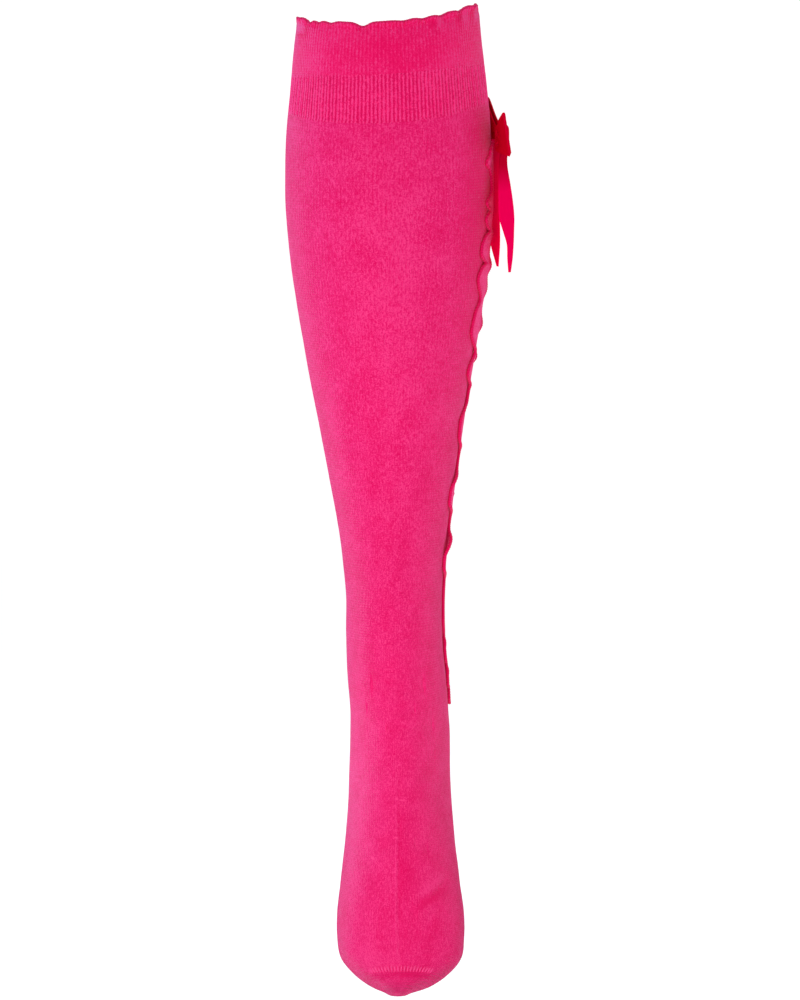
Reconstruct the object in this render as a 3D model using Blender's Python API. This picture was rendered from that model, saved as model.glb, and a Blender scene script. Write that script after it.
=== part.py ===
"""Knee-high knitted sock, filled out as if a leg were in it, with a side ruffle and a satin bow.

The sock is one knitted tube. Its form is a table of rings, from the hem down the leg, round the
heel and out to the toe. Every piece that lies on the tube is made from points of that same form,
moved out along its normal. Sizes in the tables are millimetres; the meshes are in metres.

Frame: +Z runs up the leg, -Y is the way the toes point, +X is the ruffled side. The origin is the
middle of the rib band, on the axis of the leg that holds the sock up.
"""

import bisect
import math
from typing import NamedTuple

import bmesh
import bpy
from mathutils import Vector

MM = 0.001

# Cloth
KNIT_WALL = 1.5
CUFF_WALL = 1.9
SEAM_GAP = 0.3
RIB_COUNT = 156
RIB_DEPTH = 0.6
LOW_RIB_DEPTH = 0.2

# Columns of points round each piece
WELT_COLUMNS = 104
RIB_COLUMNS = 2 * RIB_COUNT
TUBE_COLUMNS = 36

# Rings of points along each piece
LEG_RINGS = 21
FOOT_RINGS = 20
TOE_RINGS = 8
LOOP_SECTIONS = 25
TAIL_SECTIONS = 15

# Height that the hem's wave takes up, and the length over which each rib runs out
HEM_HEIGHT = 3.0
RIB_FADE = 0.8

# Foot: its own frame runs x forward from the back of the heel and h up from the sole
FOOT_PITCH = math.radians(31)
ANKLE_IN_FOOT = (52.0, 75.0)
ANKLE_IN_LEG = (-3.0, -357.0)

# Ruffle: a strip sewn down by its centre line, both edges stretched into waves
RUFFLE_WALL = 1.0
RUFFLE_CLEARANCE = 0.5
RUFFLE_STATIONS = 132
RUFFLE_TOP = -35.0
RUFFLE_BOTTOM = -352.0
RUFFLE_MID_REACH = 0.55     # where the strip starts to lift, as a share of its edge's reach
RUFFLE_MID_LIFT = 0.4       # and how far it has lifted there, as a share of its edge's lift

# Bow: satin ribbon, 25 mm wide where it lies flat
RIBBON_WALL = 1.0

COLLECTION = "knee_high_sock"


class Ring(NamedTuple):
    """One section of the sock, in the plane of its front and back points."""

    name: str
    front: tuple        # (y, z) of the front point
    back: tuple         # (y, z) of the back point
    half_width: float
    centre_x: float
    front_round: float  # exponent of the front half's superellipse, 2 is an ellipse
    back_round: float
    widest: float       # where the ring is widest, as a share of its half depth, + to the front
    side_rise: float    # how far the ring's two sides stand above its front and back
    lean: float         # how far its +X side stands above its middle


def foot(x, h):
    """Turn a point of the foot's own frame into (y, z) of the sock."""
    ahead = x - ANKLE_IN_FOOT[0]
    above = h - ANKLE_IN_FOOT[1]
    y = ANKLE_IN_LEG[0] - ahead * math.cos(FOOT_PITCH) - above * math.sin(FOOT_PITCH)
    z = ANKLE_IN_LEG[1] - ahead * math.sin(FOOT_PITCH) + above * math.cos(FOOT_PITCH)
    return (y, z)


RINGS = (
    Ring("hem", (-54.5, 39.7), (56.5, 38.2), 51.2, -0.3, 2.0, 2.0, 0.0, 7.5, 3.6),
    Ring("welt", (-55.5, 26.5), (58.5, 27.0), 53.2, -0.3, 2.0, 2.0, 0.0, 4.8, 3.4),
    Ring("rib_top", (-56.5, 11.3), (60.0, 12.0), 54.9, -0.2, 2.0, 2.0, 0.0, 3.2, 3.2),
    Ring("rib_bottom", (-57.3, -15.7), (63.0, -15.0), 57.4, 0.0, 2.0, 2.0, -0.03, 6.0, 3.0),
    Ring("high_calf", (-57.5, -38.0), (66.0, -37.0), 59.0, 0.0, 2.0, 2.0, -0.06, 3.0, 1.2),
    Ring("calf", (-57.2, -60.0), (68.0, -59.5), 59.2, 0.0, 2.0, 2.0, -0.08, 0.0, 0.0),
    Ring("calf_82", (-56.2, -83.0), (68.0, -83.0), 57.6, -0.1, 2.0, 2.0, -0.08, 0.0, 0.0),
    Ring("calf_106", (-54.5, -106.0), (66.0, -106.0), 55.2, 0.0, 2.0, 2.0, -0.08, 0.0, 0.0),
    Ring("calf_129", (-52.5, -129.0), (62.0, -129.0), 51.5, 0.2, 2.0, 2.0, -0.07, 0.0, 0.0),
    Ring("shin_152", (-50.2, -152.0), (56.5, -152.0), 47.8, 0.4, 2.0, 2.0, -0.06, 0.0, 0.0),
    Ring("shin_175", (-48.0, -175.0), (50.3, -175.0), 43.5, 0.7, 2.0, 2.0, -0.05, 0.0, 0.0),
    Ring("shin_198", (-46.0, -198.0), (44.5, -198.0), 39.5, 1.3, 2.0, 2.0, -0.03, 0.0, 0.0),
    Ring("shin_221", (-44.4, -221.0), (39.8, -221.0), 35.7, 1.9, 2.0, 2.0, 0.0, 0.0, 0.0),
    Ring("shin_244", (-43.0, -244.0), (36.3, -244.0), 32.0, 2.5, 2.0, 2.0, 0.0, 0.0, 0.0),
    Ring("shin_267", (-41.6, -267.0), (34.0, -267.0), 29.2, 3.0, 2.0, 2.0, 0.0, 0.0, 0.0),
    Ring("shin_290", (-40.6, -290.0), (33.0, -290.0), 27.6, 3.2, 2.0, 2.0, 0.0, 0.0, 0.0),
    Ring("ankle", (-40.0, -314.0), (33.5, -311.0), 27.8, 3.4, 2.0, 2.0, 0.0, 0.0, 0.0),
    Ring("ankle_low", foot(68, 119), foot(0, 83), 28.2, 4.1, 2.0, 2.0, 0.0, 0.0, 0.0),
    Ring("bend_1", foot(75, 108), foot(1, 70), 28.6, 5.0, 2.0, 2.0, 0.0, 0.0, 0.0),
    Ring("bend_2", foot(81, 100), foot(0, 57), 28.5, 5.8, 2.0, 2.0, 0.0, 0.0, 0.0),
    Ring("heel_1", foot(86, 94), foot(-2, 43), 28.5, 6.3, 2.0, 2.0, 0.0, 0.0, 0.0),
    Ring("heel_2", foot(91, 88), foot(-1, 28), 29.0, 6.6, 2.0, 2.0, 0.0, 0.0, 0.0),
    Ring("heel_3", foot(97, 82), foot(5, 12), 29.2, 6.6, 2.0, 2.1, 0.0, 0.0, 0.0),
    Ring("heel_4", foot(104, 76.5), foot(20, 2), 29.4, 6.6, 2.0, 2.2, -0.05, 0.0, 0.0),
    Ring("arch_1", foot(113, 70), foot(42, 0), 29.9, 6.6, 2.0, 2.3, -0.10, 0.0, 0.0),
    Ring("arch_2", foot(125, 62.5), foot(68, 1.5), 30.8, 6.6, 2.0, 2.4, -0.15, 0.0, 0.0),
    Ring("arch_3", foot(140, 54.5), foot(95, 4), 32.0, 6.8, 2.0, 2.5, -0.20, 0.0, 0.0),
    Ring("ball_1", foot(157, 46.5), foot(122, 4.5), 34.0, 6.8, 2.0, 2.5, -0.22, 0.0, 0.0),
    Ring("ball_2", foot(173, 40), foot(147, 2), 35.9, 6.8, 2.1, 2.5, -0.22, 0.0, 0.0),
    Ring("toe_start", foot(187, 34.5), foot(167, 0), 35.6, 6.8, 2.2, 2.5, -0.20, 0.0, 0.0),
    Ring("toe_1", foot(199, 30), foot(183, 0.5), 33.4, 6.8, 2.2, 2.4, -0.15, 0.0, 0.0),
    Ring("toe_2", foot(209, 26), foot(197, 2.5), 26.6, 6.6, 2.2, 2.3, -0.10, 0.0, 0.0),
    Ring("toe_3", foot(217, 22), foot(209, 5.5), 18.0, 6.4, 2.1, 2.2, 0.0, 0.0, 0.0),
    Ring("toe_end", foot(222, 18), foot(218, 10), 8.6, 6.0, 2.0, 2.0, 0.0, 0.0, 0.0),
)

# The hem's lettuce edge: each dip of the edge, by its angle round the hem and its depth
HEM_DIPS = (
    (-83, 1.2), (-61, 1.9), (-48, 0.7), (-37, 0.9), (-16, 2.2), (10, 0.7), (23, 1.1), (36, 1.4),
    (52, 1.7), (81, 1.7), (98, 1.3), (118, 1.6), (137, 1.2), (151, 1.0), (169, 1.9), (188, 0.9),
    (206, 1.5), (224, 1.2), (239, 1.8), (258, 1.3),
)
HEM_DIP_SPREAD = 4.5
HEM_FLARE = 0.5

# The ruffle's sewing line: angle round the leg at each height
RUFFLE_LINE = (
    (-10.0, 93.0), (-35.0, 92.0), (-60.0, 87.0), (-90.0, 83.0), (-125.0, 84.0), (-150.0, 90.0),
    (-175.0, 95.0), (-205.0, 97.0), (-228.0, 95.0), (-247.0, 99.0), (-270.0, 99.0),
    (-310.0, 104.0), (-335.0, 104.0), (-352.0, 99.0),
)


class EdgePoint(NamedTuple):
    """A point of the ruffle's wavy edge: its height, its angle round the leg and its lift off it."""

    z: float
    around: float
    lift: float


# The edge nearer the shin, as (z, around, lift)
NEAR_EDGE = tuple(EdgePoint(*row) for row in (
    (-34, 84, 0.4), (-36, 77, 0.6), (-39, 74, 0.7),
    (-40.5, 69.5, 0.9), (-42.5, 68.5, 0.9), (-44.5, 73, 0.8), (-46.5, 75.5, 0.8), (-50, 77, 0.8),
    (-55, 78, 0.8), (-58.5, 74, 0.9), (-61.5, 69, 0.9), (-64.5, 73.5, 1.0), (-66, 77, 1.2),
    (-68.5, 72, 0.9), (-71, 70, 0.9), (-75, 74, 0.9), (-78, 79, 1.6), (-81, 72, 1.0),
    (-84.5, 68, 1.0), (-88.5, 66.5, 0.9), (-92, 68, 0.9), (-95, 74, 1.2), (-96.5, 74.5, 2.0),
    (-98.5, 71, 1.2), (-102, 67, 0.9), (-105.5, 66, 0.9), (-110, 69, 0.9), (-115, 74, 1.0),
    (-119, 74, 0.9), (-122.5, 70, 0.8), (-127, 68, 0.7), (-131.5, 67, 0.7), (-136, 67, 0.7),
    (-140, 71, 0.9), (-146, 80, 1.8), (-150.5, 80.5, 1.2), (-154.5, 73, 0.9), (-159, 72, 0.8),
    (-162, 76, 1.0), (-166, 84, 1.8), (-169, 87, 1.4), (-176.5, 87, 1.4), (-180.5, 81, 0.9),
    (-184.5, 73.5, 0.7), (-190, 73, 0.7), (-195, 74.5, 0.7), (-197.5, 77, 1.2), (-200.5, 82, 1.7),
    (-204, 90, 1.2), (-214, 91, 1.2), (-218, 83, 1.8), (-221, 76, 1.8), (-224, 72, 1.2),
    (-228.5, 71, 0.8), (-232.5, 71, 0.8), (-235, 73, 1.6), (-238.5, 84, 1.4), (-243, 92, 1.0),
    (-250, 93, 1.4), (-254, 86, 3.0), (-258, 78, 3.0), (-261, 77, 2.0), (-265, 75, 1.0),
    (-269, 76, 0.8), (-272, 75, 1.6), (-275, 85, 1.4), (-279, 92, 1.0), (-283, 89, 1.0),
    (-292, 89, 0.8), (-298, 89, 0.8), (-302.5, 86, 0.8), (-306.5, 89, 1.0), (-311, 94, 0.8),
    (-315, 89, 1.5), (-320, 88, 1.0), (-324.5, 86.5, 1.0), (-328, 92, 0.8), (-332, 88, 1.5),
    (-336, 87, 1.0), (-340, 84, 0.8), (-343, 92, 0.8), (-348, 86, 1.0), (-354, 90, 0.4),
))
# The edge nearer the calf
FAR_EDGE = tuple(EdgePoint(*row) for row in (
    (-34, 94.5, 0.1), (-38, 94, 0.1), (-42, 94.5, 0.1), (-47, 93, 0.2),
    (-55, 94, 0.4), (-60, 95, 0.5), (-67, 94, 0.9), (-74, 97, 0.6), (-80, 92, 1.6), (-86, 97, 1.0),
    (-93, 96, 0.9), (-98, 90, 2.0), (-104, 97, 1.0), (-112, 94, 1.4), (-118, 99, 0.9),
    (-126, 98, 1.0), (-132, 93, 1.8), (-138, 100, 1.0), (-146, 101, 1.0), (-151, 98, 2.0),
    (-157, 108, 1.0), (-164, 109, 0.9), (-169, 103, 2.0), (-175, 111, 1.2), (-184, 112, 0.9),
    (-190, 106, 1.8), (-196, 114, 1.0), (-205, 115, 1.0), (-210, 107, 2.2), (-216, 114, 1.2),
    (-225, 115, 1.0), (-230, 108, 2.2), (-237, 117, 1.0), (-245, 120, 1.0), (-250, 112, 2.4),
    (-256, 120, 1.2), (-264, 122, 1.0), (-269, 114, 2.2), (-276, 122, 1.0), (-284, 124, 1.2),
    (-289, 116, 2.2), (-296, 127, 1.0), (-304, 128, 1.0), (-309, 120, 2.0), (-316, 128, 1.0),
    (-324, 128, 1.2), (-329, 120, 2.2), (-336, 127, 1.0), (-344, 122, 1.2), (-354, 113, 0.4),
))


def smooth(stations, values, at):
    """Cubic through the values at rising stations, with no kink at any of them."""
    last = len(stations) - 1
    at = min(max(at, stations[0]), stations[last])
    i = min(max(bisect.bisect_right(stations, at) - 1, 0), last - 1)

    def slope(k):
        before, after = max(k - 1, 0), min(k + 1, last)
        return (values[after] - values[before]) / (stations[after] - stations[before])

    span = stations[i + 1] - stations[i]
    t = (at - stations[i]) / span
    return (
        values[i] * (1 + 2 * t) * (1 - t) ** 2
        + slope(i) * span * t * (1 - t) ** 2
        + values[i + 1] * t * t * (3 - 2 * t)
        - slope(i + 1) * span * t * t * (1 - t)
    )


def ring_columns():
    """The rings' numbers as columns, and each ring's distance along the sock's axis."""
    columns = [
        (*ring.front, *ring.back, ring.half_width, ring.centre_x, ring.front_round,
         ring.back_round, ring.widest, ring.side_rise, ring.lean)
        for ring in RINGS
    ]
    lengths = [0.0]
    for upper, lower in zip(RINGS, RINGS[1:]):
        step_y = (lower.front[0] + lower.back[0] - upper.front[0] - upper.back[0]) / 2
        step_z = (lower.front[1] + lower.back[1] - upper.front[1] - upper.back[1]) / 2
        lengths.append(lengths[-1] + math.hypot(step_y, step_z))
    return lengths, list(zip(*columns))


LENGTHS, COLUMNS = ring_columns()


def length_of(name):
    """Distance along the sock of a ring, by its name."""
    return LENGTHS[[ring.name for ring in RINGS].index(name)]


def length_at_height(z):
    """Distance along the sock at a height of its axis, from the hem down to the heel."""
    heights = [-(ring.front[1] + ring.back[1]) / 2 for ring in RINGS]
    upright = [ring.name for ring in RINGS].index("heel_2")
    return smooth(heights[:upright], LENGTHS[:upright], -z)


def on_ring(along, around):
    """Point of the sock's outer face, in millimetres; around is 0 in front and 90 degrees at +X."""
    (front_y, front_z, back_y, back_z, half_width, centre_x, front_round, back_round, widest,
     side_rise, lean) = (smooth(LENGTHS, column, along) for column in COLUMNS)
    depth, width = math.cos(around), math.sin(around)
    power = front_round if depth >= 0 else back_round
    reach = (abs(depth) ** power + abs(width) ** power) ** (-1 / power)
    depth, width = depth * reach, width * reach
    share = (1 + depth + widest * width * width) / 2
    return Vector((
        centre_x + half_width * width,
        back_y + (front_y - back_y) * share,
        back_z + (front_z - back_z) * share + side_rise * width * width + lean * width,
    ))


def sock_point(along, around, out=0.0):
    """Point of the sock's form moved out along its normal, in millimetres."""
    point = on_ring(along, around)
    if out == 0.0:
        return point
    turn = math.radians(0.5)
    step = 0.5
    across = on_ring(along, around + turn) - on_ring(along, around - turn)
    down = on_ring(min(along + step, LENGTHS[-1]), around) - on_ring(max(along - step, 0), around)
    return point + down.cross(across).normalized() * out


def hem_drop(around):
    """How far the lettuce edge dips below the hem's line at an angle round it."""
    angle = math.degrees(around)
    drop = 0.0
    for at, depth in HEM_DIPS:
        off = (angle - at + 180) % 360 - 180
        drop += depth * math.exp(-((off / HEM_DIP_SPREAD) ** 2))
    return drop


def material(name, colour, roughness, sheen=0.0):
    """A plain finish."""
    finish = bpy.data.materials.new(name)
    finish.use_nodes = True
    shader = finish.node_tree.nodes["Principled BSDF"]
    shader.inputs["Base Color"].default_value = (*colour, 1.0)
    shader.inputs["Roughness"].default_value = roughness
    shader.inputs["Metallic"].default_value = 0.0
    shader.inputs["Sheen Weight"].default_value = sheen
    return finish


def add_object(name, mesh_data, finish):
    """Put a bmesh in the sock's collection as an object with its finish, its faces outwards."""
    bmesh.ops.recalc_face_normals(mesh_data, faces=mesh_data.faces)
    if mesh_data.calc_volume(signed=True) < 0:
        bmesh.ops.reverse_faces(mesh_data, faces=mesh_data.faces)
    mesh = bpy.data.meshes.new(name)
    mesh_data.to_mesh(mesh)
    mesh_data.free()
    mesh.shade_smooth()
    mesh.set_sharp_from_angle(angle=math.radians(40))
    mesh.materials.append(finish)
    piece = bpy.data.objects.new(name, mesh)
    bpy.data.collections[COLLECTION].objects.link(piece)
    return piece


def loop_of(shape, points):
    """New vertices of a bmesh at points given in millimetres."""
    return [shape.verts.new(point * MM) for point in points]


def join_loops(shape, first, second, closed=True):
    """Quads between two loops of as many points."""
    count = len(first)
    for i in range(count if closed else count - 1):
        j = (i + 1) % count
        shape.faces.new((first[i], first[j], second[j], second[i]))


def join_uneven(shape, fine, coarse):
    """Triangles between a closed loop and one with a whole number of times fewer points."""
    ratio = len(fine) // len(coarse)
    for i, corner in enumerate(coarse):
        after = coarse[(i + 1) % len(coarse)]
        middle = fine[(i * ratio + ratio // 2) % len(fine)]
        shape.faces.new((corner, middle, after))
        for k in range(ratio):
            one = fine[(i * ratio + k) % len(fine)]
            two = fine[(i * ratio + k + 1) % len(fine)]
            shape.faces.new((corner if k < ratio // 2 else after, one, two))


def stations(start, end, count):
    """Evenly spaced distances from start to end."""
    return [start + (end - start) * i / (count - 1) for i in range(count)]


def angles(columns):
    """Angles of the columns round the sock."""
    return [2 * math.pi * i / columns for i in range(columns)]


def knit_tube(name, finish, start, end, rings, tip=False):
    """A length of the knitted tube: its outer face, its inner face and the edges between them."""
    shape = bmesh.new()
    turns = angles(TUBE_COLUMNS)
    levels = stations(start, end, rings)
    outer = [loop_of(shape, [sock_point(s, a) for a in turns]) for s in levels]
    inner = [loop_of(shape, [sock_point(s, a, -KNIT_WALL) for a in turns]) for s in levels]
    for upper, lower in zip(outer, outer[1:]):
        join_loops(shape, upper, lower)
    for upper, lower in zip(inner, inner[1:]):
        join_loops(shape, lower, upper)
    join_loops(shape, inner[0], outer[0])
    if tip:
        shape.faces.new(outer[-1])
        shape.faces.new(inner[-1])
    else:
        join_loops(shape, outer[-1], inner[-1])
    return add_object(name, shape, finish)


def welt(finish):
    """The plain top band, its upper edge dipping and flaring in a lettuce wave."""
    shape = bmesh.new()
    turns = angles(WELT_COLUMNS)
    end = length_of("rib_top") - SEAM_GAP / 2
    levels = [0.0, HEM_HEIGHT, (HEM_HEIGHT + end) / 2, end]

    def place(along, around, out):
        share = max(0.0, 1 - along / HEM_HEIGHT)
        point = sock_point(along, around, out + HEM_FLARE * share)
        point.z -= hem_drop(around) * share
        return point

    outer = [loop_of(shape, [place(s, a, 0.0) for a in turns]) for s in levels]
    inner = [loop_of(shape, [place(s, a, -CUFF_WALL) for a in turns]) for s in levels]
    for upper, lower in zip(outer, outer[1:]):
        join_loops(shape, upper, lower)
    for upper, lower in zip(inner, inner[1:]):
        join_loops(shape, lower, upper)
    join_loops(shape, inner[0], outer[0])
    join_loops(shape, outer[-1], inner[-1])
    return add_object("welt", shape, finish)


def rib_band(finish):
    """The rib band: ridges raised in the outer points, over a plain inside."""
    shape = bmesh.new()
    start = length_of("rib_top") + SEAM_GAP / 2
    end = length_of("rib_bottom") - SEAM_GAP / 2
    turns = angles(RIB_COLUMNS)

    # a furrow, a ridge, a furrow and a lower ridge, over and over
    depths = (RIB_DEPTH, 0.0, RIB_DEPTH, LOW_RIB_DEPTH)
    coarse = angles(RIB_COLUMNS // len(depths))
    levels = ((start, 0.0), (start + RIB_FADE, 1.0), (end - RIB_FADE, 1.0), (end, 0.0))
    outer = [
        loop_of(shape, [
            sock_point(s, a, -share * depths[i % len(depths)]) for i, a in enumerate(turns)
        ])
        for s, share in levels
    ]
    inner = [
        loop_of(shape, [sock_point(s, a, -CUFF_WALL) for a in coarse]) for s in (start, end)
    ]
    for upper, lower in zip(outer, outer[1:]):
        join_loops(shape, upper, lower)
    join_loops(shape, inner[1], inner[0])
    join_uneven(shape, outer[0], inner[0])
    join_uneven(shape, outer[-1], inner[-1])
    return add_object("rib_band", shape, finish)


def edge_at(edge, z):
    """Angle round the leg, in degrees, and lift of a ruffle's edge at a height."""
    heights = [-point.z for point in edge]
    return (
        smooth(heights, [point.around for point in edge], -z),
        smooth(heights, [point.lift for point in edge], -z),
    )


def ruffle_line(z):
    """Angle of the ruffle's sewing line round the leg at a height, in degrees."""
    heights = [-row[0] for row in RUFFLE_LINE]
    return smooth(heights, [row[1] for row in RUFFLE_LINE], -z)


def ruffle(finish):
    """The strip sewn down the leg: held at its middle, its two edges lifting in waves."""
    shape = bmesh.new()
    sections = []
    for z in stations(RUFFLE_TOP, RUFFLE_BOTTOM, RUFFLE_STATIONS):
        along = length_at_height(z)
        line = ruffle_line(z)
        near, near_lift = edge_at(NEAR_EDGE, z)
        far, far_lift = edge_at(FAR_EDGE, z)
        rows = (
            (near, near_lift),
            (line + (near - line) * RUFFLE_MID_REACH, near_lift * RUFFLE_MID_LIFT),
            (line, 0.0),
            (line + (far - line) * RUFFLE_MID_REACH, far_lift * RUFFLE_MID_LIFT),
            (far, far_lift),
        )
        places = [(math.radians(degrees), RUFFLE_CLEARANCE + lift) for degrees, lift in rows]
        under = [sock_point(along, around, out) for around, out in places]
        over = [sock_point(along, around, out + RUFFLE_WALL) for around, out in places]
        sections.append(loop_of(shape, under + over[::-1]))
    for upper, lower in zip(sections, sections[1:]):
        join_loops(shape, upper, lower)
    for end in (sections[0], sections[-1]):
        half = len(end) // 2
        join_loops(shape, end[:half], end[:half - 1:-1], closed=False)
    return add_object("ruffle", shape, finish)


class RibbonRow(NamedTuple):
    """A place along a ribbon: its centre, and the angles that turn its width."""

    centre: tuple       # (x, y, z)
    lean: float         # degrees that its width leans from +Z towards -Y
    turn: float         # degrees that the leaning width turns from -Y towards +X
    width: float


def ribbon(name, rows, finish, samples):
    """A ribbon through its rows: a flat wall, smooth along its length."""
    shape = bmesh.new()
    at = [float(i) for i in range(len(rows))]
    columns = list(zip(*[(*row.centre, row.lean, row.turn, row.width) for row in rows]))

    def row_at(t):
        return [smooth(at, column, t) for column in columns]

    loops = []
    last = at[-1]
    for t in stations(0.0, last, samples):
        x, y, z, lean, turn, width = row_at(t)
        lean, turn = math.radians(lean), math.radians(turn)
        across = Vector((
            math.sin(lean) * math.sin(turn), -math.sin(lean) * math.cos(turn), math.cos(lean)
        ))
        ahead = Vector(row_at(min(t + 0.02, last))[:3]) - Vector(row_at(max(t - 0.02, 0))[:3])
        normal = across.cross(ahead).normalized()
        side = across * (width / 2)
        half = normal * (RIBBON_WALL / 2)
        centre = Vector((x, y, z))
        loops.append(loop_of(shape, [
            centre - side - half, centre - half, centre + side - half,
            centre + side + half, centre + half, centre - side + half,
        ]))
    for one, two in zip(loops, loops[1:]):
        join_loops(shape, one, two)
    for end in (loops[0], loops[-1]):
        shape.faces.new((end[0], end[1], end[4], end[5]))
        shape.faces.new((end[1], end[2], end[3], end[4]))
    return add_object(name, shape, finish)


# The near loop runs out over its outer layer and back along its inner one. Its width stands up.
NEAR_LOOP = (
    RibbonRow((66.6, -4.9, -26.0), 0.0, 0.0, 11.0),
    RibbonRow((67.4, -9.0, -25.3), 3.0, -90.0, 17.0),
    RibbonRow((67.9, -16.0, -24.0), 7.0, -90.0, 22.0),
    RibbonRow((67.9, -23.0, -23.1), 9.0, -90.0, 24.5),
    RibbonRow((67.4, -28.0, -22.8), 9.0, -90.0, 25.0),
    RibbonRow((66.6, -29.3, -22.8), 9.0, -90.0, 25.0),
    RibbonRow((65.8, -26.5, -23.0), 8.0, -90.0, 24.0),
    RibbonRow((64.4, -19.0, -23.6), 6.0, -90.0, 21.5),
    RibbonRow((62.8, -11.0, -24.4), 3.0, -90.0, 18.5),
    RibbonRow((61.9, -5.0, -25.0), 0.0, 0.0, 15.0),
)

# The far loop climbs as it goes back round the calf
FAR_LOOP = (
    RibbonRow((65.6, 4.7, -25.0), 0.0, 0.0, 9.0),
    RibbonRow((63.3, 9.0, -23.6), 8.0, 0.0, 13.0),
    RibbonRow((60.9, 14.5, -20.5), 16.0, 0.0, 18.0),
    RibbonRow((59.0, 20.5, -17.0), 20.0, 0.0, 22.5),
    RibbonRow((57.6, 26.0, -14.4), 22.0, 0.0, 25.0),
    RibbonRow((56.2, 28.2, -13.6), 22.0, 0.0, 25.0),
    RibbonRow((56.0, 25.2, -14.8), 21.0, 0.0, 24.5),
    RibbonRow((58.0, 18.6, -18.2), 18.0, 0.0, 21.0),
    RibbonRow((60.5, 11.0, -22.4), 10.0, 0.0, 15.0),
    RibbonRow((63.3, 5.0, -24.8), 0.0, 0.0, 9.0),
)

# The two free ends hang from under the knot; their width runs front to back and each is cut
# on the slant
FRONT_TAIL = (
    RibbonRow((65.9, -0.5, -33.6), 90.0, -20.0, 10.0),
    RibbonRow((65.8, -1.5, -41.0), 90.0, -18.0, 15.0),
    RibbonRow((66.4, -4.0, -50.0), 90.0, -18.0, 21.5),
    RibbonRow((67.2, -6.0, -60.0), 90.0, -19.0, 25.0),
    RibbonRow((67.9, -6.0, -70.0), 90.0, -20.5, 25.0),
    RibbonRow((69.2, -2.4, -79.0), 90.0, -20.5, 17.0),
    RibbonRow((70.1, 0.6, -86.0), 90.0, -20.5, 10.5),
    RibbonRow((70.0, 1.8, -94.0), 90.0, -20.5, 8.0),
    RibbonRow((69.8, 2.4, -102.0), 90.0, -20.5, 3.0),
)
BACK_TAIL = (
    RibbonRow((62.7, 6.0, -33.6), 90.0, 12.0, 14.0),
    RibbonRow((62.6, 8.5, -41.0), 90.0, 10.5, 18.0),
    RibbonRow((62.5, 12.0, -50.0), 90.0, 9.0, 22.0),
    RibbonRow((62.1, 16.0, -60.0), 90.0, 8.5, 25.0),
    RibbonRow((61.8, 18.6, -70.0), 90.0, 10.0, 25.0),
    RibbonRow((61.6, 19.0, -80.0), 90.0, 12.0, 25.0),
    RibbonRow((62.0, 16.6, -88.0), 90.0, 12.0, 20.0),
    RibbonRow((63.1, 9.8, -99.0), 90.0, 12.0, 3.0),
)

KNOT_CENTRE = (64.9, 0.0, -25.5)
KNOT_SIZE = (8.4, 8.4, 15.6)
KNOT_SQUARENESS = 0.4


def bow_knot(finish):
    """The ribbon wrapped round the middle of the bow: a small rounded barrel."""
    shape = bmesh.new()
    bmesh.ops.create_uvsphere(shape, u_segments=12, v_segments=8, radius=1.0)
    for vert in shape.verts:
        for axis in range(3):
            part = vert.co[axis]
            vert.co[axis] = math.copysign(abs(part) ** KNOT_SQUARENESS, part) * KNOT_SIZE[axis] / 2 * MM
        vert.co += Vector(KNOT_CENTRE) * MM
    return add_object("bow_knot", shape, finish)


def build():
    """Model the sock, its ruffle and its bow."""
    for item in list(bpy.data.objects):
        bpy.data.objects.remove(item, do_unlink=True)
    group = bpy.data.collections.new(COLLECTION)
    bpy.context.scene.collection.children.link(group)

    knit = material("pink_knit", (0.84, 0.02, 0.17), 0.85, sheen=0.5)
    rib = material("pink_rib_knit", (0.82, 0.02, 0.16), 0.85, sheen=0.5)
    frill = material("pink_ruffle_knit", (0.80, 0.01, 0.12), 0.8, sheen=0.4)
    satin = material("satin_ribbon", (0.75, 0.0, 0.05), 0.35)

    half_gap = SEAM_GAP / 2
    welt(rib)
    rib_band(rib)
    knit_tube("leg", knit, length_of("rib_bottom") + half_gap, length_of("ankle") - half_gap,
              LEG_RINGS)
    knit_tube("foot", knit, length_of("ankle") + half_gap, length_of("toe_start") - half_gap,
              FOOT_RINGS)
    knit_tube("toe", knit, length_of("toe_start") + half_gap, LENGTHS[-1], TOE_RINGS, tip=True)
    ruffle(frill)
    ribbon("bow_loop_near", NEAR_LOOP, satin, LOOP_SECTIONS)
    ribbon("bow_loop_far", FAR_LOOP, satin, LOOP_SECTIONS)
    ribbon("bow_tail_front", FRONT_TAIL, satin, TAIL_SECTIONS)
    ribbon("bow_tail_back", BACK_TAIL, satin, TAIL_SECTIONS)
    bow_knot(satin)


build()
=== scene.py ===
"""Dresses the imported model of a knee-high sock with a lettuce edge, a side ruffle and a satin bow.

The knitted pieces all lie on one form, a table of rings from the hem down the leg, round the heel
and out to the toe. Each sub-assembly is a class that holds its own sizes. Tables and sizes are in
millimetres and degrees; meshes are in metres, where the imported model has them.
"""

from __future__ import annotations

import bisect
import functools
import logging
import math
from dataclasses import dataclass
from enum import Enum
from typing import Callable, NamedTuple, Sequence

import bmesh
import bpy
from mathutils import Matrix, Vector, noise

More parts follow.
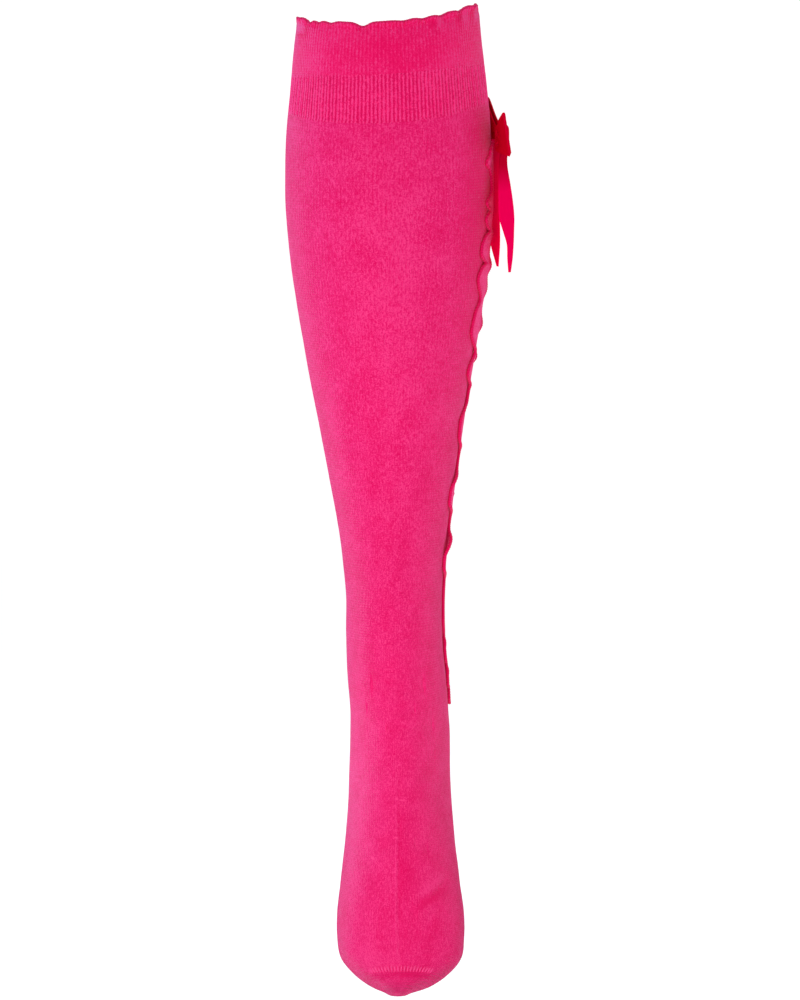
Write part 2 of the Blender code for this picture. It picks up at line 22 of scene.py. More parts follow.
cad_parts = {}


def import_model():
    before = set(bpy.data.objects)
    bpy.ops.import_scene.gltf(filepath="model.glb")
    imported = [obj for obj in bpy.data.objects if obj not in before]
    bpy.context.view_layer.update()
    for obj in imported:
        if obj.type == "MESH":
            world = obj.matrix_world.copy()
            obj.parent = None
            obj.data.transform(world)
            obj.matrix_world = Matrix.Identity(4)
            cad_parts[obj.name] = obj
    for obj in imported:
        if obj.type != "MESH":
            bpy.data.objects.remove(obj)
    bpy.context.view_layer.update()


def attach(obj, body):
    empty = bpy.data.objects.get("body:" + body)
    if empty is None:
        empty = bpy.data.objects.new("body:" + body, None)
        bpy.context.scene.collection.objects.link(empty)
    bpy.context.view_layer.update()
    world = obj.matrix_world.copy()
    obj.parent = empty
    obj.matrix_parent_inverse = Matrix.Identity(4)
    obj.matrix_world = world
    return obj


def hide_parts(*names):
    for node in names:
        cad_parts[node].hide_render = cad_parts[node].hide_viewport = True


LOG = logging.getLogger("sock")
MM = 0.001
FULL_TURN = 2 * math.pi
UV_NAME = "weave"
BODY = "root"
SOCK_SLOT, CUFF_SLOT, SATIN_SLOT = "sock_knit", "cuff_knit", "satin_ribbon"
SHARP_ANGLE = math.radians(55)  # from which an edge is shaded sharp
WORN_GIRTH = 340.0              # round the welt and the calf
EDGE_STATIONS = 1500            # sections along an overlocked edge
STITCH_FOOT = 0.4               # height of its stitches where they meet the cloth, as a share

BMesh = bmesh.types.BMesh
Material = bpy.types.Material
Object = bpy.types.Object
Pair = tuple[float, float]
Place3 = tuple[float, float, float]
Colour = tuple[float, float, float]
Place = Callable[[float, float], Vector]
Cross = tuple[Vector, Vector, Vector]       # a centre and two directions across a line


# Shader arithmetic


@dataclass(frozen=True)
class Wire:
    """A node's output socket that takes part in Python expressions."""

    finish: NodeFinish
    socket: bpy.types.NodeSocket

    def __add__(self, other: Scalar) -> Wire:
        """Sum."""
        return self.finish.math("ADD", self, other)

    def __sub__(self, other: Scalar) -> Wire:
        """Difference."""
        return self.finish.math("SUBTRACT", self, other)

    def __mul__(self, other: Scalar) -> Wire:
        """Product."""
        return self.finish.math("MULTIPLY", self, other)

    def __pow__(self, other: Scalar) -> Wire:
        """Power."""
        return self.finish.math("POWER", self, other)

    def __abs__(self) -> Wire:
        """Size without its sign."""
        return self.finish.math("ABSOLUTE", self)


Scalar = Wire | float


class NodeFinish:
    """A node material under construction."""

    def __init__(self, name: str) -> None:
        """Start an empty node material.

        Args:
            name: The material's name.
        """
        self.material = bpy.data.materials.new(name)
        self.material.use_nodes = True
        self.tree = self.material.node_tree
        self.tree.nodes.clear()

    def node(self, kind: str, settings: dict | None = None, **sockets: object) -> bpy.types.Node:
        """Make any node.

        Args:
            kind: The node's type, without its ShaderNode prefix.
            settings: The node's own settings, set first. "stops" holds a ramp's stops.
            sockets: Values or wires of its inputs, with _ for a blank in their names, or _N for
                the input at index N.

        Returns:
            The node.
        """
        made = self.tree.nodes.new(f"ShaderNode{kind}")
        for key, value in (settings or {}).items():
            if key == "stops":
                elements = made.color_ramp.elements
                while len(elements) < len(value):
                    elements.new(0.5)
                for element, (position, colour) in zip(elements, value):
                    element.position = position
                    element.color = (*colour, 1.0)
            else:
                setattr(made, key, value)
        for key, value in sockets.items():
            socket = made.inputs[int(key[1:]) if key[0] == "_" else key.replace("_", " ")]
            if isinstance(value, Wire):
                self.tree.links.new(value.socket, socket)
            else:
                socket.default_value = value
        return made

    def out(self, node: bpy.types.Node, name: str | int = 0) -> Wire:
        """One output of a node, as a wire."""
        return Wire(self, node.outputs[name])

    def math(self, operation: str, *values: Scalar) -> Wire:
        """The result of a Math node with this operation and these inputs."""
        inputs = {f"_{i}": value for i, value in enumerate(values)}
        return self.out(self.node("Math", {"operation": operation}, **inputs))

    def blend(self, factor: Scalar, first: Wire | Colour, second: Wire | Colour) -> Wire:
        """Mix two colours.

        Args:
            factor: Share of the second colour.
            first: The first colour.
            second: The second colour.

        Returns:
            The mixed colour.
        """
        first, second = (colour if isinstance(colour, Wire) else (*colour, 1.0)
                         for colour in (first, second))
        return self.out(self.node("Mix", {"data_type": "RGBA"}, _0=factor, _6=first, _7=second), 2)

    def ramp(self, factor: Wire, *stops: tuple[float, Colour]) -> Wire:
        """The colour of a ramp, whose stops are positions and colours, at a factor."""
        return self.out(self.node("ValToRGB", {"stops": stops}, Fac=factor))

    def surface(self, **sockets: object) -> Material:
        """Add the Principled shader and the output.

        Args:
            sockets: Values or wires of the shader's inputs.

        Returns:
            The finished material.
        """
        shader = self.node("BsdfPrincipled", **sockets)
        self.tree.links.new(shader.outputs[0], self.node("OutputMaterial").inputs[0])
        return self.material

    def weave_axes(self, across: float = 1.0, along: float = 1.0) -> tuple[Wire, Wire]:
        """The piece's own UV map, counted in threads or stitches.

        Args:
            across: How many in one unit of U.
            along: How many in one unit of V.

        Returns:
            The two counts.
        """
        uv = self.node("UVMap", {"uv_map": UV_NAME})
        parts = self.node("SeparateXYZ", _0=self.out(uv))
        return self.out(parts, 0) * across, self.out(parts, 1) * along

    def grain(self, weave: tuple[Wire, Wire], counts: Pair, detail: float) -> Wire:
        """Noise over the weave.

        Args:
            weave: Two counts of threads or stitches.
            counts: How many grains to one of each.
            detail: Octaves.

        Returns:
            Noise from 0 to 1, about 0.5 in the mean.
        """
        point = self.node("CombineXYZ", _0=weave[0] * counts[0], _1=weave[1] * counts[1])
        return self.out(self.node("TexNoise", {"noise_dimensions": "2D"}, Vector=self.out(point),
                                  Scale=1.0, Detail=detail))

    def nap(self, scale: float) -> Wire:
        """Noise in the piece's own space, with this many grains to a metre."""
        point = self.out(self.node("TexCoord"), "Object")
        return self.out(self.node("TexNoise", Vector=point, Scale=scale, Detail=1.0))

    def bump(self, height: Wire, distance: float) -> Wire:
        """A Bump node's normal, where a height of 1 stands for this distance in metres."""
        return self.out(self.node("Bump", Height=height, Distance=distance))


# Finishes


class Mark(NamedTuple):
    """A soft patch of lighter or darker colour on the sock: painted light, painted shade or a speck
    of lint.
    """

    along: float        # where its middle is, along the sock
    degrees: float      # and round it
    turn: float         # degrees that its length turns from along the sock towards +X
    length: float       # half its length
    width: float        # half its width
    tone: float         # + is lighter, - darker


@dataclass(frozen=True)
class KnitFinish:
    """Fine jersey of heathered pink cotton: columns of V stitches with a soft nap."""

    name: str
    dark: Colour = (0.755, 0.002, 0.105)
    base: Colour = (0.815, 0.013, 0.154)
    light: Colour = (0.90, 0.040, 0.218)
    level: float = 0.5              # the mean place on the ramp of these three
    wales: float = 156.0
    courses: float = 420.0
    slant: float = 1.6              # courses that a stitch's leg rises in one wale
    painted_furrow_shade: float = 0.16            # painted shade: how much darker the furrows between the wales are painted
    speck_scale: float = 1450.0     # to a metre
    specks: float = 2.6
    dashes: float = 1.2
    dash_counts: Pair = (1.9, 0.45)     # to a wale and to a course
    clouds: float = 0.7
    cloud_counts: Pair = (0.13, 0.08)
    stitch_height: float = 0.00025
    sheen: float = 0.24
    through: float = 0.06           # painted glow: light of its own tone that the cloth gives off, standing in for light spreading inside it
    marks: tuple[Mark, ...] = ()
    girth: float = 200.0            # round the sock, where the marks are

    def marked(self, knit: NodeFinish) -> Scalar:
        """Sum of the marks' tones.

        Args:
            knit: The material under construction.

        Returns:
            What they add to the shade.
        """
        total: Scalar = 0.0
        if not self.marks:
            return total
        round_it, along_it = knit.weave_axes(1.0, FORM.end)
        for mark in self.marks:
            turn = math.radians(mark.turn)
            off = knit.math("FRACT", round_it - (mark.degrees / 360 - 0.5)) - 0.5
            x, y = off * self.girth, along_it - mark.along
            far = (y * (math.cos(turn) / mark.length) + x * (math.sin(turn) / mark.length)) ** 2.0
            side = (x * (math.cos(turn) / mark.width) - y * (math.sin(turn) / mark.width)) ** 2.0
            total = knit.math("POWER", math.e, (far + side) * -1.0) * mark.tone + total
        return total

    def build(self) -> Material:
        """Make the material."""
        knit = NodeFinish(self.name)
        weave = wale, course = knit.weave_axes(self.wales, self.courses)
        off = abs(knit.math("FRACT", wale) - 0.5)
        yarn = knit.math("SINE", off * FULL_TURN)
        loop = knit.math("COSINE", (course + off * self.slant) * FULL_TURN) * 0.5 + 0.5
        # The ridge is +0.5 on a wale and -0.5 between wales; it paints the furrows darker, a painted
        # shade.
        ridge = knit.math("COSINE", wale * FULL_TURN) * 0.5
        specks = knit.nap(self.speck_scale) - 0.5
        dashes = knit.grain(weave, self.dash_counts, 1.0) - 0.5
        clouds = knit.grain(weave, self.cloud_counts, 2.0) - 0.5
        shade = (specks * self.specks + dashes * self.dashes + clouds * self.clouds
                 + ridge * self.painted_furrow_shade + self.level + self.marked(knit))
        tone = knit.ramp(shade, (0.0, self.dark), (0.5, self.base), (1.0, self.light))
        height = yarn * (loop * 0.5 + 0.5) + specks
        return knit.surface(
            Base_Color=tone, Roughness=0.9, Sheen_Weight=self.sheen, Sheen_Roughness=0.27,
            Sheen_Tint=(0.9, 0.65, 0.95, 1.0), Specular_IOR_Level=0.1,
            # Painted glow: the knit gives off light of its own tone.
            Emission_Color=tone, Emission_Strength=self.through,
            Normal=knit.bump(height, self.stitch_height),
        )


@dataclass(frozen=True)
class ThreadFinish:
    """Overlock and linking thread, whose stitches run from one tone to a darker one, painted shade
    where they sink.
    """

    name: str
    base: Colour
    shadow: Colour
    sheen: float = 0.35
    through: float = 0.0            # painted glow: light of its own tone that the thread gives off
    stitch_height: float = 0.0002

    def build(self) -> Material:
        """Make the material."""
        thread = NodeFinish(self.name)
        across, along = thread.weave_axes()
        lay = thread.math("SINE", (along + across) * FULL_TURN) * 0.5 + 0.5
        # Painted shade: the thread is painted towards its shadow colour where its stitches sink.
        tone = thread.blend(lay, self.shadow, self.base)
        return thread.surface(
            Base_Color=tone, Roughness=0.8, Sheen_Weight=self.sheen, Sheen_Roughness=0.4,
            Sheen_Tint=(1.0, 0.6, 0.9, 1.0), Specular_IOR_Level=0.15,
            # Painted glow: the thread gives off light of its own tone.
            Emission_Color=tone, Emission_Strength=self.through,
            Normal=thread.bump(lay, self.stitch_height),
        )


@dataclass(frozen=True)
class SatinFinish:
    """Satin ribbon: long floats along its length, which give it a broad coloured gloss."""

    name: str
    through: float                  # painted glow: light that it gives off, standing in for light coming through it from behind
    dark: Colour = (0.82, 0.0, 0.075)
    base: Colour = (0.92, 0.0, 0.100)
    shaded: Colour | None = None    # its colour at the top, in the shade of the knot
    shade_slope: float = 5.0        # how fast the shade clears down the ribbon
    shade_hold: float = 0.6         # and how long it holds before that
    gloss: Colour = (1.0, 0.02, 0.35)
    floats: float = 60.0
    picks: float = 260.0
    slub_counts: Pair = (0.6, 0.04)     # to a float and to a pick
    roughness: float = 0.45
    slub_roughness: float = 0.12
    weave_height: float = 0.00004

    def build(self) -> Material:
        """Make the material."""
        satin = NodeFinish(self.name)
        weave = across, along = satin.weave_axes(self.floats, self.picks)
        floats = satin.math("SINE", across * FULL_TURN) * 0.5 + 0.5
        picks = satin.math("SINE", along * FULL_TURN) * 0.5 + 0.5
        slubs = satin.grain(weave, self.slub_counts, 3.0)
        tone = satin.blend(slubs, self.dark, self.base)
        if self.shaded:
            lit = satin.weave_axes()[1] * self.shade_slope - self.shade_hold
            lit = satin.math("MINIMUM", satin.math("MAXIMUM", lit, 0.0), 1.0)
            tone = satin.blend(lit, self.shaded, tone)
        rough = slubs * self.slub_roughness + (self.roughness - self.slub_roughness / 2)
        return satin.surface(
            Base_Color=tone, Metallic=0.3, Roughness=rough, Specular_IOR_Level=0.0,
            Specular_Tint=(*self.gloss, 1.0), Anisotropic=0.4,
            # Painted glow: the ribbon gives off light of its base colour.
            Emission_Color=(*self.base, 1.0), Emission_Strength=self.through,
            Normal=satin.bump(floats * 0.4 + picks * 0.6, self.weave_height),
        )


@dataclass(frozen=True)
class PaperFinish:
    """The white paper that the floor and backdrop are made of."""

    name: str = "studio_paper"
    grey: float = 0.9
    glow: float = 0.335

    def build(self) -> Material:
        """Make the material."""
        return NodeFinish(self.name).surface(
            Base_Color=(self.grey, self.grey, self.grey, 1.0), Roughness=0.9,
            Specular_IOR_Level=0.1, Emission_Color=(1.0, 1.0, 1.0, 1.0),
            Emission_Strength=self.glow)


# The form that the sock is stretched over


class Ring(NamedTuple):
    """One section of the sock, in the plane of its front and back points."""

    name: str
    front: Pair                     # (y, z)
    back: Pair
    half_width: float
    centre_x: float
    widest: float = 0.0             # where it is widest, as a share of its half depth
    side_rise: float = 0.0          # how far its two sides stand above its front and back
    lean: float = 0.0               # how far its +X side stands above its middle
    rounds: Pair = (2.0, 2.0)       # exponents of the front and back halves' superellipses


FOOT_PITCH = math.radians(31)
ANKLE_IN_FOOT = (52.0, 75.0)
ANKLE_IN_LEG = (-3.0, -357.0)


def foot(x: float, h: float) -> Pair:
    """Turn a point of the foot's own frame into (y, z) of the sock.

    Args:
        x: Distance forward from the back of the heel.
        h: Height above the sole.

    Returns:
        The point's y and z.
    """
    ahead, above = x - ANKLE_IN_FOOT[0], h - ANKLE_IN_FOOT[1]
    return (
        ANKLE_IN_LEG[0] - ahead * math.cos(FOOT_PITCH) - above * math.sin(FOOT_PITCH),
        ANKLE_IN_LEG[1] - ahead * math.sin(FOOT_PITCH) + above * math.cos(FOOT_PITCH),
    )


RINGS = (
    Ring("hem", (-54.5, 39.7), (56.5, 38.2), 51.4, -0.2, 0, 7.5, 4),
    Ring("welt", (-55.5, 26.5), (58.5, 27), 53.2, -0.3, 0, 4.8, 3.4),
    Ring("rib_top", (-56.5, 11.3), (60, 12), 54.9, -0.2, 0, 3.2, 3.2),
    Ring("rib_bottom", (-57.3, -15.7), (63, -15), 57.4, 0, -0.03, 6, 3),
    Ring("high_calf", (-57.5, -38), (66, -37), 59, 0, -0.06, 3, 1.2),
    Ring("calf", (-57.2, -60), (68, -59.5), 59.2, 0, -0.08),
    Ring("calf_82", (-56.2, -83), (68, -83), 57.6, -0.1, -0.08),
    Ring("calf_106", (-54.5, -106), (66, -106), 55.2, 0, -0.08),
    Ring("calf_129", (-52.5, -129), (62, -129), 51.5, 0.2, -0.07),
    Ring("shin_152", (-50.2, -152), (56.5, -152), 47.8, 0.4, -0.06),
    Ring("shin_175", (-48, -175), (50.3, -175), 43.5, 0.7, -0.05),
    Ring("shin_198", (-46, -198), (44.5, -198), 39.5, 1.3, -0.03),
    Ring("shin_221", (-44.4, -221), (39.8, -221), 35.7, 1.9),
    Ring("shin_244", (-43, -244), (36.3, -244), 32, 2.5),
    Ring("shin_267", (-41.6, -267), (34, -267), 29.2, 3),
    Ring("shin_290", (-40.6, -290), (33, -290), 27.6, 3.2),
    Ring("ankle", (-40, -314), (33.5, -311), 27.8, 3.4),
    Ring("ankle_low", foot(68, 119), foot(0, 83), 28.2, 4.1),
    Ring("bend_1", foot(75, 108), foot(1, 70), 28.6, 5),
    Ring("bend_2", foot(81, 100), foot(0, 57), 28.5, 5.8),
    Ring("heel_1", foot(86, 94), foot(-2, 43), 28.5, 6.3),
    Ring("heel_2", foot(91, 88), foot(-1, 28), 29, 6.6),
    Ring("heel_3", foot(97, 82), foot(5, 12), 29.2, 6.6, rounds=(2, 2.1)),
    Ring("heel_4", foot(104, 76.5), foot(20, 2), 29.4, 6.6, -0.05, rounds=(2, 2.2)),
    Ring("arch_1", foot(113, 70), foot(42, 0), 29.9, 6.6, -0.1, rounds=(2, 2.3)),
    Ring("arch_2", foot(125, 62.5), foot(68, 1.5), 30.8, 6.6, -0.15, rounds=(2, 2.4)),
    Ring("arch_3", foot(140, 54.5), foot(95, 4), 32, 6.8, -0.2, rounds=(2, 2.5)),
    Ring("ball_1", foot(157, 46.5), foot(122, 4.5), 34, 6.8, -0.22, rounds=(2, 2.5)),
    Ring("ball_2", foot(173, 40), foot(147, 2), 36, 7, -0.22, rounds=(2.1, 2.5)),
    Ring("toe_start", foot(187, 34.5), foot(167, 0), 35.9, 7.1, -0.2, rounds=(2.2, 2.5)),
    Ring("toe_1", foot(199, 30), foot(183, 0.5), 34.1, 7.4, -0.15, rounds=(2.2, 2.4)),
    Ring("toe_2", foot(209, 26), foot(197, 2.5), 26.9, 7.5, -0.1, rounds=(2.2, 2.3)),
    Ring("toe_3", foot(217, 22), foot(209, 5.5), 17.5, 7, rounds=(2.1, 2.2)),
    Ring("toe_end", foot(222, 18), foot(218, 10), 6.7, 5.6),
)


def smooth(stations: Sequence[float], values: Sequence[float], at: float) -> float:
    """Cubic through the values at rising stations, with no kink at any of them.

    Args:
        stations: Where the values are, rising.
        values: The values.
        at: Where to read.

    Returns:
        The value there.
    """
    last = len(stations) - 1
    at = min(max(at, stations[0]), stations[last])
    i = min(max(bisect.bisect_right(stations, at) - 1, 0), last - 1)

    def slope(k: int) -> float:
        before, after = max(k - 1, 0), min(k + 1, last)
        return (values[after] - values[before]) / (stations[after] - stations[before])

    span = stations[i + 1] - stations[i]
    t = (at - stations[i]) / span
    return (
        values[i] * (1 + 2 * t) * (1 - t) ** 2
        + slope(i) * span * t * (1 - t) ** 2
        + values[i + 1] * t * t * (3 - 2 * t)
        - slope(i + 1) * span * t * t * (1 - t)
    )


class SockForm:
    """The surface that every knitted piece lies on."""

    def __init__(self, rings: Sequence[Ring]) -> None:
        """Lay the rings' numbers out as columns, and measure along them.

        Args:
            rings: The sections, from the hem to the toe.
        """
        self.names = [ring.name for ring in rings]
        self.columns = list(zip(*[(*r.front, *r.back, *r[3:-1], *r.rounds) for r in rings]))
        self.heights = [-(r.front[1] + r.back[1]) / 2 for r in rings]
        self.lengths = [0.0]
        for upper, lower in zip(rings, rings[1:]):
            step_y = (lower.front[0] + lower.back[0] - upper.front[0] - upper.back[0]) / 2
            step_z = (lower.front[1] + lower.back[1] - upper.front[1] - upper.back[1]) / 2
            self.lengths.append(self.lengths[-1] + math.hypot(step_y, step_z))
        self.end = self.lengths[-1]

    def length_of(self, name: str) -> float:
        """Distance along the sock of a ring, by its name."""
        return self.lengths[self.names.index(name)]

    def length_at_height(self, z: float) -> float:
        """Distance along the sock at a height of its axis, from the hem down to the heel."""
        upright = self.names.index("heel_2")
        return smooth(self.heights[:upright], self.lengths[:upright], -z)

    @functools.lru_cache(maxsize=4096)
    def section(self, along: float) -> tuple[float, ...]:
        """All numbers of the ring at a distance along the sock."""
        return tuple(smooth(self.lengths, column, along) for column in self.columns)

    def centre(self, along: float) -> Vector:
        """Middle of the ring at a distance along the sock."""
        front_y, front_z, back_y, back_z, _, centre_x = self.section(along)[:6]
        return Vector((centre_x, (front_y + back_y) / 2, (front_z + back_z) / 2))

    def on_ring(self, along: float, around: float) -> Vector:
        """Point of the outer face.

        Args:
            along: Distance along the sock.
            around: Angle round it, 0 in front and a quarter turn at +X.

        Returns:
            The point.
        """
        (front_y, front_z, back_y, back_z, half_width, centre_x, widest, side_rise, lean,
         front_round, back_round) = self.section(along)
        depth, width = math.cos(around), math.sin(around)
        power = front_round if depth >= 0 else back_round
        reach = (abs(depth) ** power + abs(width) ** power) ** (-1 / power)
        depth, width = depth * reach, width * reach
        share = (1 + depth + widest * width * width) / 2
        return Vector((
            centre_x + half_width * width,
            back_y + (front_y - back_y) * share,
            back_z + (front_z - back_z) * share + side_rise * width * width + lean * width,
        ))

    def outward(self, along: float, around: float) -> Vector:
        """Unit normal of the outer face, from points half a degree and half a mm away."""
        turn, step = math.radians(0.5), 0.5
        across = self.on_ring(along, around + turn) - self.on_ring(along, around - turn)
        down = (self.on_ring(min(along + step, self.end), around)
                - self.on_ring(max(along - step, 0), around))
        return down.cross(across).normalized()

    def point(self, along: float, around: float, out: float) -> Vector:
        """Point of the form, moved out along its normal."""
        return self.on_ring(along, around) + self.outward(along, around) * out

    def radius(self, along: float, around: float) -> float:
        """Arc length per radian, from points a tenth of a radian apart."""
        return (self.on_ring(along, around + 0.05) - self.on_ring(along, around - 0.05)).length * 10


FORM = SockForm(RINGS)


@dataclass(frozen=True)
class Crease:
    """A soft trough or ridge along a straight line on the form."""

    start: Pair      # (distance along, degrees round)
    end: Pair
    depth: float                    # + is a trough, - a ridge
    width: float

    def at(self, along: float, around: float, radius: float) -> float:
        """How far the cloth sinks here.

        Args:
            along: Distance along the sock.
            around: Angle round it.
            radius: Arc length per radian here.

        Returns:
            The depth, which is negative on a ridge.
        """
        def side(degrees: float) -> float:
            return ((math.degrees(around) - degrees + 180) % 360 - 180) * math.pi / 180 * radius

        ax, ay = along - self.start[0], side(self.start[1])
        run = (self.end[0] - self.start[0], ay - side(self.end[1]))
        share = min(max((ax * run[0] + ay * run[1]) / (run[0] ** 2 + run[1] ** 2), 0.0), 1.0)
        off = math.hypot(ax - run[0] * share, ay - run[1] * share)
        if off > 3 * self.width:
            return 0.0
        fade = math.sin(math.pi * min(max(share, 0.02), 0.98)) ** 0.5
        return self.depth * math.exp(-((off / self.width) ** 2)) * fade


# The pressed line and the creases of instep, toe, heel, ankle, sole and calf.
CREASES = tuple(Crease(*row) for row in (
    ((440, -2.5), (597, -5), -0.40, 0.9), ((440, 0.5), (597, -2), 0.30, 1.3),
    ((514, 52), (548, 15), 0.85, 2.6), ((509, 47), (540, 12), -0.35, 2.6),
    ((582.5, -48), (582.5, 48), 0.45, 1.8), ((375, 150), (372, 215), 0.9, 5),
    ((388, 140), (386, 200), 0.6, 4), ((402, 165), (400, 225), 0.7, 4.5),
    ((396, -60), (405, -25), 0.4, 5), ((398, 62), (407, 30), 0.4, 5),
    ((470, -150), (520, -165), 0.5, 4.5), ((465, 160), (525, 172), 0.45, 4),
    ((60, 178), (330, 181), -0.25, 1.3),
))


def marks(*rows: Sequence[float]) -> tuple[Mark, ...]:
    """Marks from rows of their numbers."""
    return tuple(Mark(*row) for row in rows)


# Painted shade and light under the hem: the small shadows that its lobes cast, the light that they
# catch beside them, a broad darker patch at the front and a line of painted shade under the rolled
# edge.
HEM_MARKS = marks(
    (3.8, -71.5, 0, 2.6, 6.5, 0.85), (7.6, -71, 90, 8, 0.9, -0.90),
    (4.8, -61.5, 5, 2.8, 1.6, -1.00), (3.3, 29.5, -20, 2.2, 2.2, -1.00),
    (3.3, 50.5, -20, 2.3, 2.8, -1.10), (3.3, 65.5, -10, 2.2, 3.4, -1.10),
    (3.2, 34.5, -15, 3, 2, 0.90), (3.4, 57, -15, 3.6, 2.8, 1.00), (4, 73.5, 0, 3.6, 4, 0.90),
    (16, 4, 0, 12, 34, -0.45), (2, 0, 90, 1000, 0.8, -0.20),
)
# Painted light along the pressed line and painted shade beside it, painted shade in the creases with
# painted light beside them, painted light on the left of the foot and the toe, painted shade between
# the stitches of the toe's seam, and specks of lint.
FOOT_MARKS = marks(
    (520, -4, 0, 62, 0.7, 0.40), (510, 3, 0, 45, 4.5, -0.30), (533, 28, -38, 11, 2.4, -0.70),
    (521, 33, -38, 13, 3, 0.35), (548, 33, -15, 14, 2.2, -0.30), (490, -55, 0, 55, 12, 0.30),
    (575, -40, 0, 18, 14, 0.35), (582.5, 0, 90, 42, 1.9, -0.40), (460, 1, 80, 2.6, 0.6, 0.90),
    (489, -4, 70, 1.6, 0.6, 1.00), (503, -28, 50, 1.4, 0.7, 1.10), (514, -6, 90, 1.5, 0.6, 0.80),
)
# Light down the shin and at the ankle, shade beside the ruffle and a speck of lint.
LEG_MARKS = marks(
    (150, 2, 0, 80, 22, 0.20), (400, -75, 0, 60, 9, 0.45), (108, 64, 0, 52, 15, -0.75),
    (88, -31, 20, 1.6, 0.7, 1),
)


# Making pieces


def shaped_grid(columns: int, rows: int, place: Place,
                uv_box: Sequence[float] = (0.0, 0.0, 1.0, 1.0)) -> BMesh:
    """A grid laid over a surface, with its edges welded where they meet.

    Args:
        columns: Faces across.
        rows: Faces along.
        place: Gives the point, in millimetres, for a share across and a share along.
        uv_box: What the grid covers of the piece's UV map: least U, least V, most U, most V.

    Returns:
        The mesh.
    """
    shape = bmesh.new()
    layer = shape.loops.layers.uv.new(UV_NAME)
    bmesh.ops.create_grid(shape, x_segments=columns, y_segments=rows, size=0.5)
    low_u, low_v, high_u, high_v = uv_box
    for face in shape.faces:
        for loop in face.loops:
            u, v = loop.vert.co.x + 0.5, loop.vert.co.y + 0.5
            loop[layer].uv = (low_u + (high_u - low_u) * u, low_v + (high_v - low_v) * v)
    for vert in shape.verts:
        vert.co = place(vert.co.x + 0.5, vert.co.y + 0.5) * MM
    rim = [vert for vert in shape.verts if vert.is_boundary]
    bmesh.ops.remove_doubles(shape, verts=rim, dist=1e-6)
    return shape


def thicken(shape: BMesh, wall: float, inwards_to: Vector | None = None) -> None:
    """Give a sheet its wall, on the side away from its normals.

    Args:
        shape: The sheet.
        wall: Its thickness in millimetres.
        inwards_to: A point, in metres, that the faces have to point away from first.
    """
    shape.normal_update()
    if inwards_to is not None:
        facing = sum((face.calc_center_median() - inwards_to).dot(face.normal) * face.calc_area()
                     for face in shape.faces)
        if facing < 0:
            bmesh.ops.reverse_faces(shape, faces=shape.faces)
    bmesh.ops.solidify(shape, geom=shape.faces[:], thickness=wall * MM)


def linked(name: str, shape: BMesh, material: Material) -> Object:
    """Put a mesh into the scene, shaded smooth.

    Args:
        name: The object's name.
        shape: Its mesh, which is used up.
        material: Its finish.

    Returns:
        The object.
    """
    mesh = bpy.data.meshes.new(name)
    shape.to_mesh(mesh)
    shape.free()
    mesh.shade_smooth()
    mesh.materials.append(material)
    made = bpy.data.objects.new(name, mesh)
    bpy.context.scene.collection.objects.link(made)
    return made


def finished(name: str, shape: BMesh, material: Material, slot: str, *nodes: str) -> Object:
    """Turn a mesh into a piece that rides with the sock.

    Args:
        name: The piece's name.
        shape: Its mesh, which is used up.
        material: Its finish.
        slot: Not used; the material slot meant for the piece.
        nodes: The CAD nodes that it stands for.

    Returns:
        The piece.
    """
    if shape.calc_volume(signed=True) < 0:
        bmesh.ops.reverse_faces(shape, faces=shape.faces)
    piece = linked(name, shape, material)
    piece.data.set_sharp_from_angle(angle=SHARP_ANGLE)
    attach(piece, BODY)
    if nodes:
        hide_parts(*nodes)
    LOG.info("%s: %d faces", name, len(piece.data.polygons))
    return piece


def sewn_edge(sides: int, radius: float, swell: float, stitches: int,
              line: Callable[[float], Cross], closed: bool) -> BMesh:
    """An edge rolled over and covered in overlock thread: a tube whose stitches stand up.

    Args:
        sides: Faces round it.
        radius: Its mean radius.
        swell: How far each stitch stands up, as a share of the radius.
        stitches: How many it has.
        line: Gives the centre and two directions across it, for a share of its length.
        closed: Whether it runs back into itself.

    Returns:
        The mesh.
    """
    def place(u: float, v: float) -> Vector:
        centre, one, two = line(v)
        turn = u * FULL_TURN
        stand = STITCH_FOOT + (1 - STITCH_FOOT) * math.sin(turn / 2)
        wave = math.cos((v * stitches + u * 0.5) * FULL_TURN) * stand
        return centre + (one * math.cos(turn) + two * math.sin(turn)) * radius * (1 + swell * wave)

    shape = shaped_grid(sides, EDGE_STATIONS, place, (0.0, 0.0, 1.0, float(stitches)))
    if not closed:
        ends = [edge for edge in shape.edges if edge.is_boundary]
        bmesh.ops.holes_fill(shape, edges=ends, sides=sides + 1)
    bmesh.ops.recalc_face_normals(shape, faces=shape.faces)
    return shape


# The knitted tube


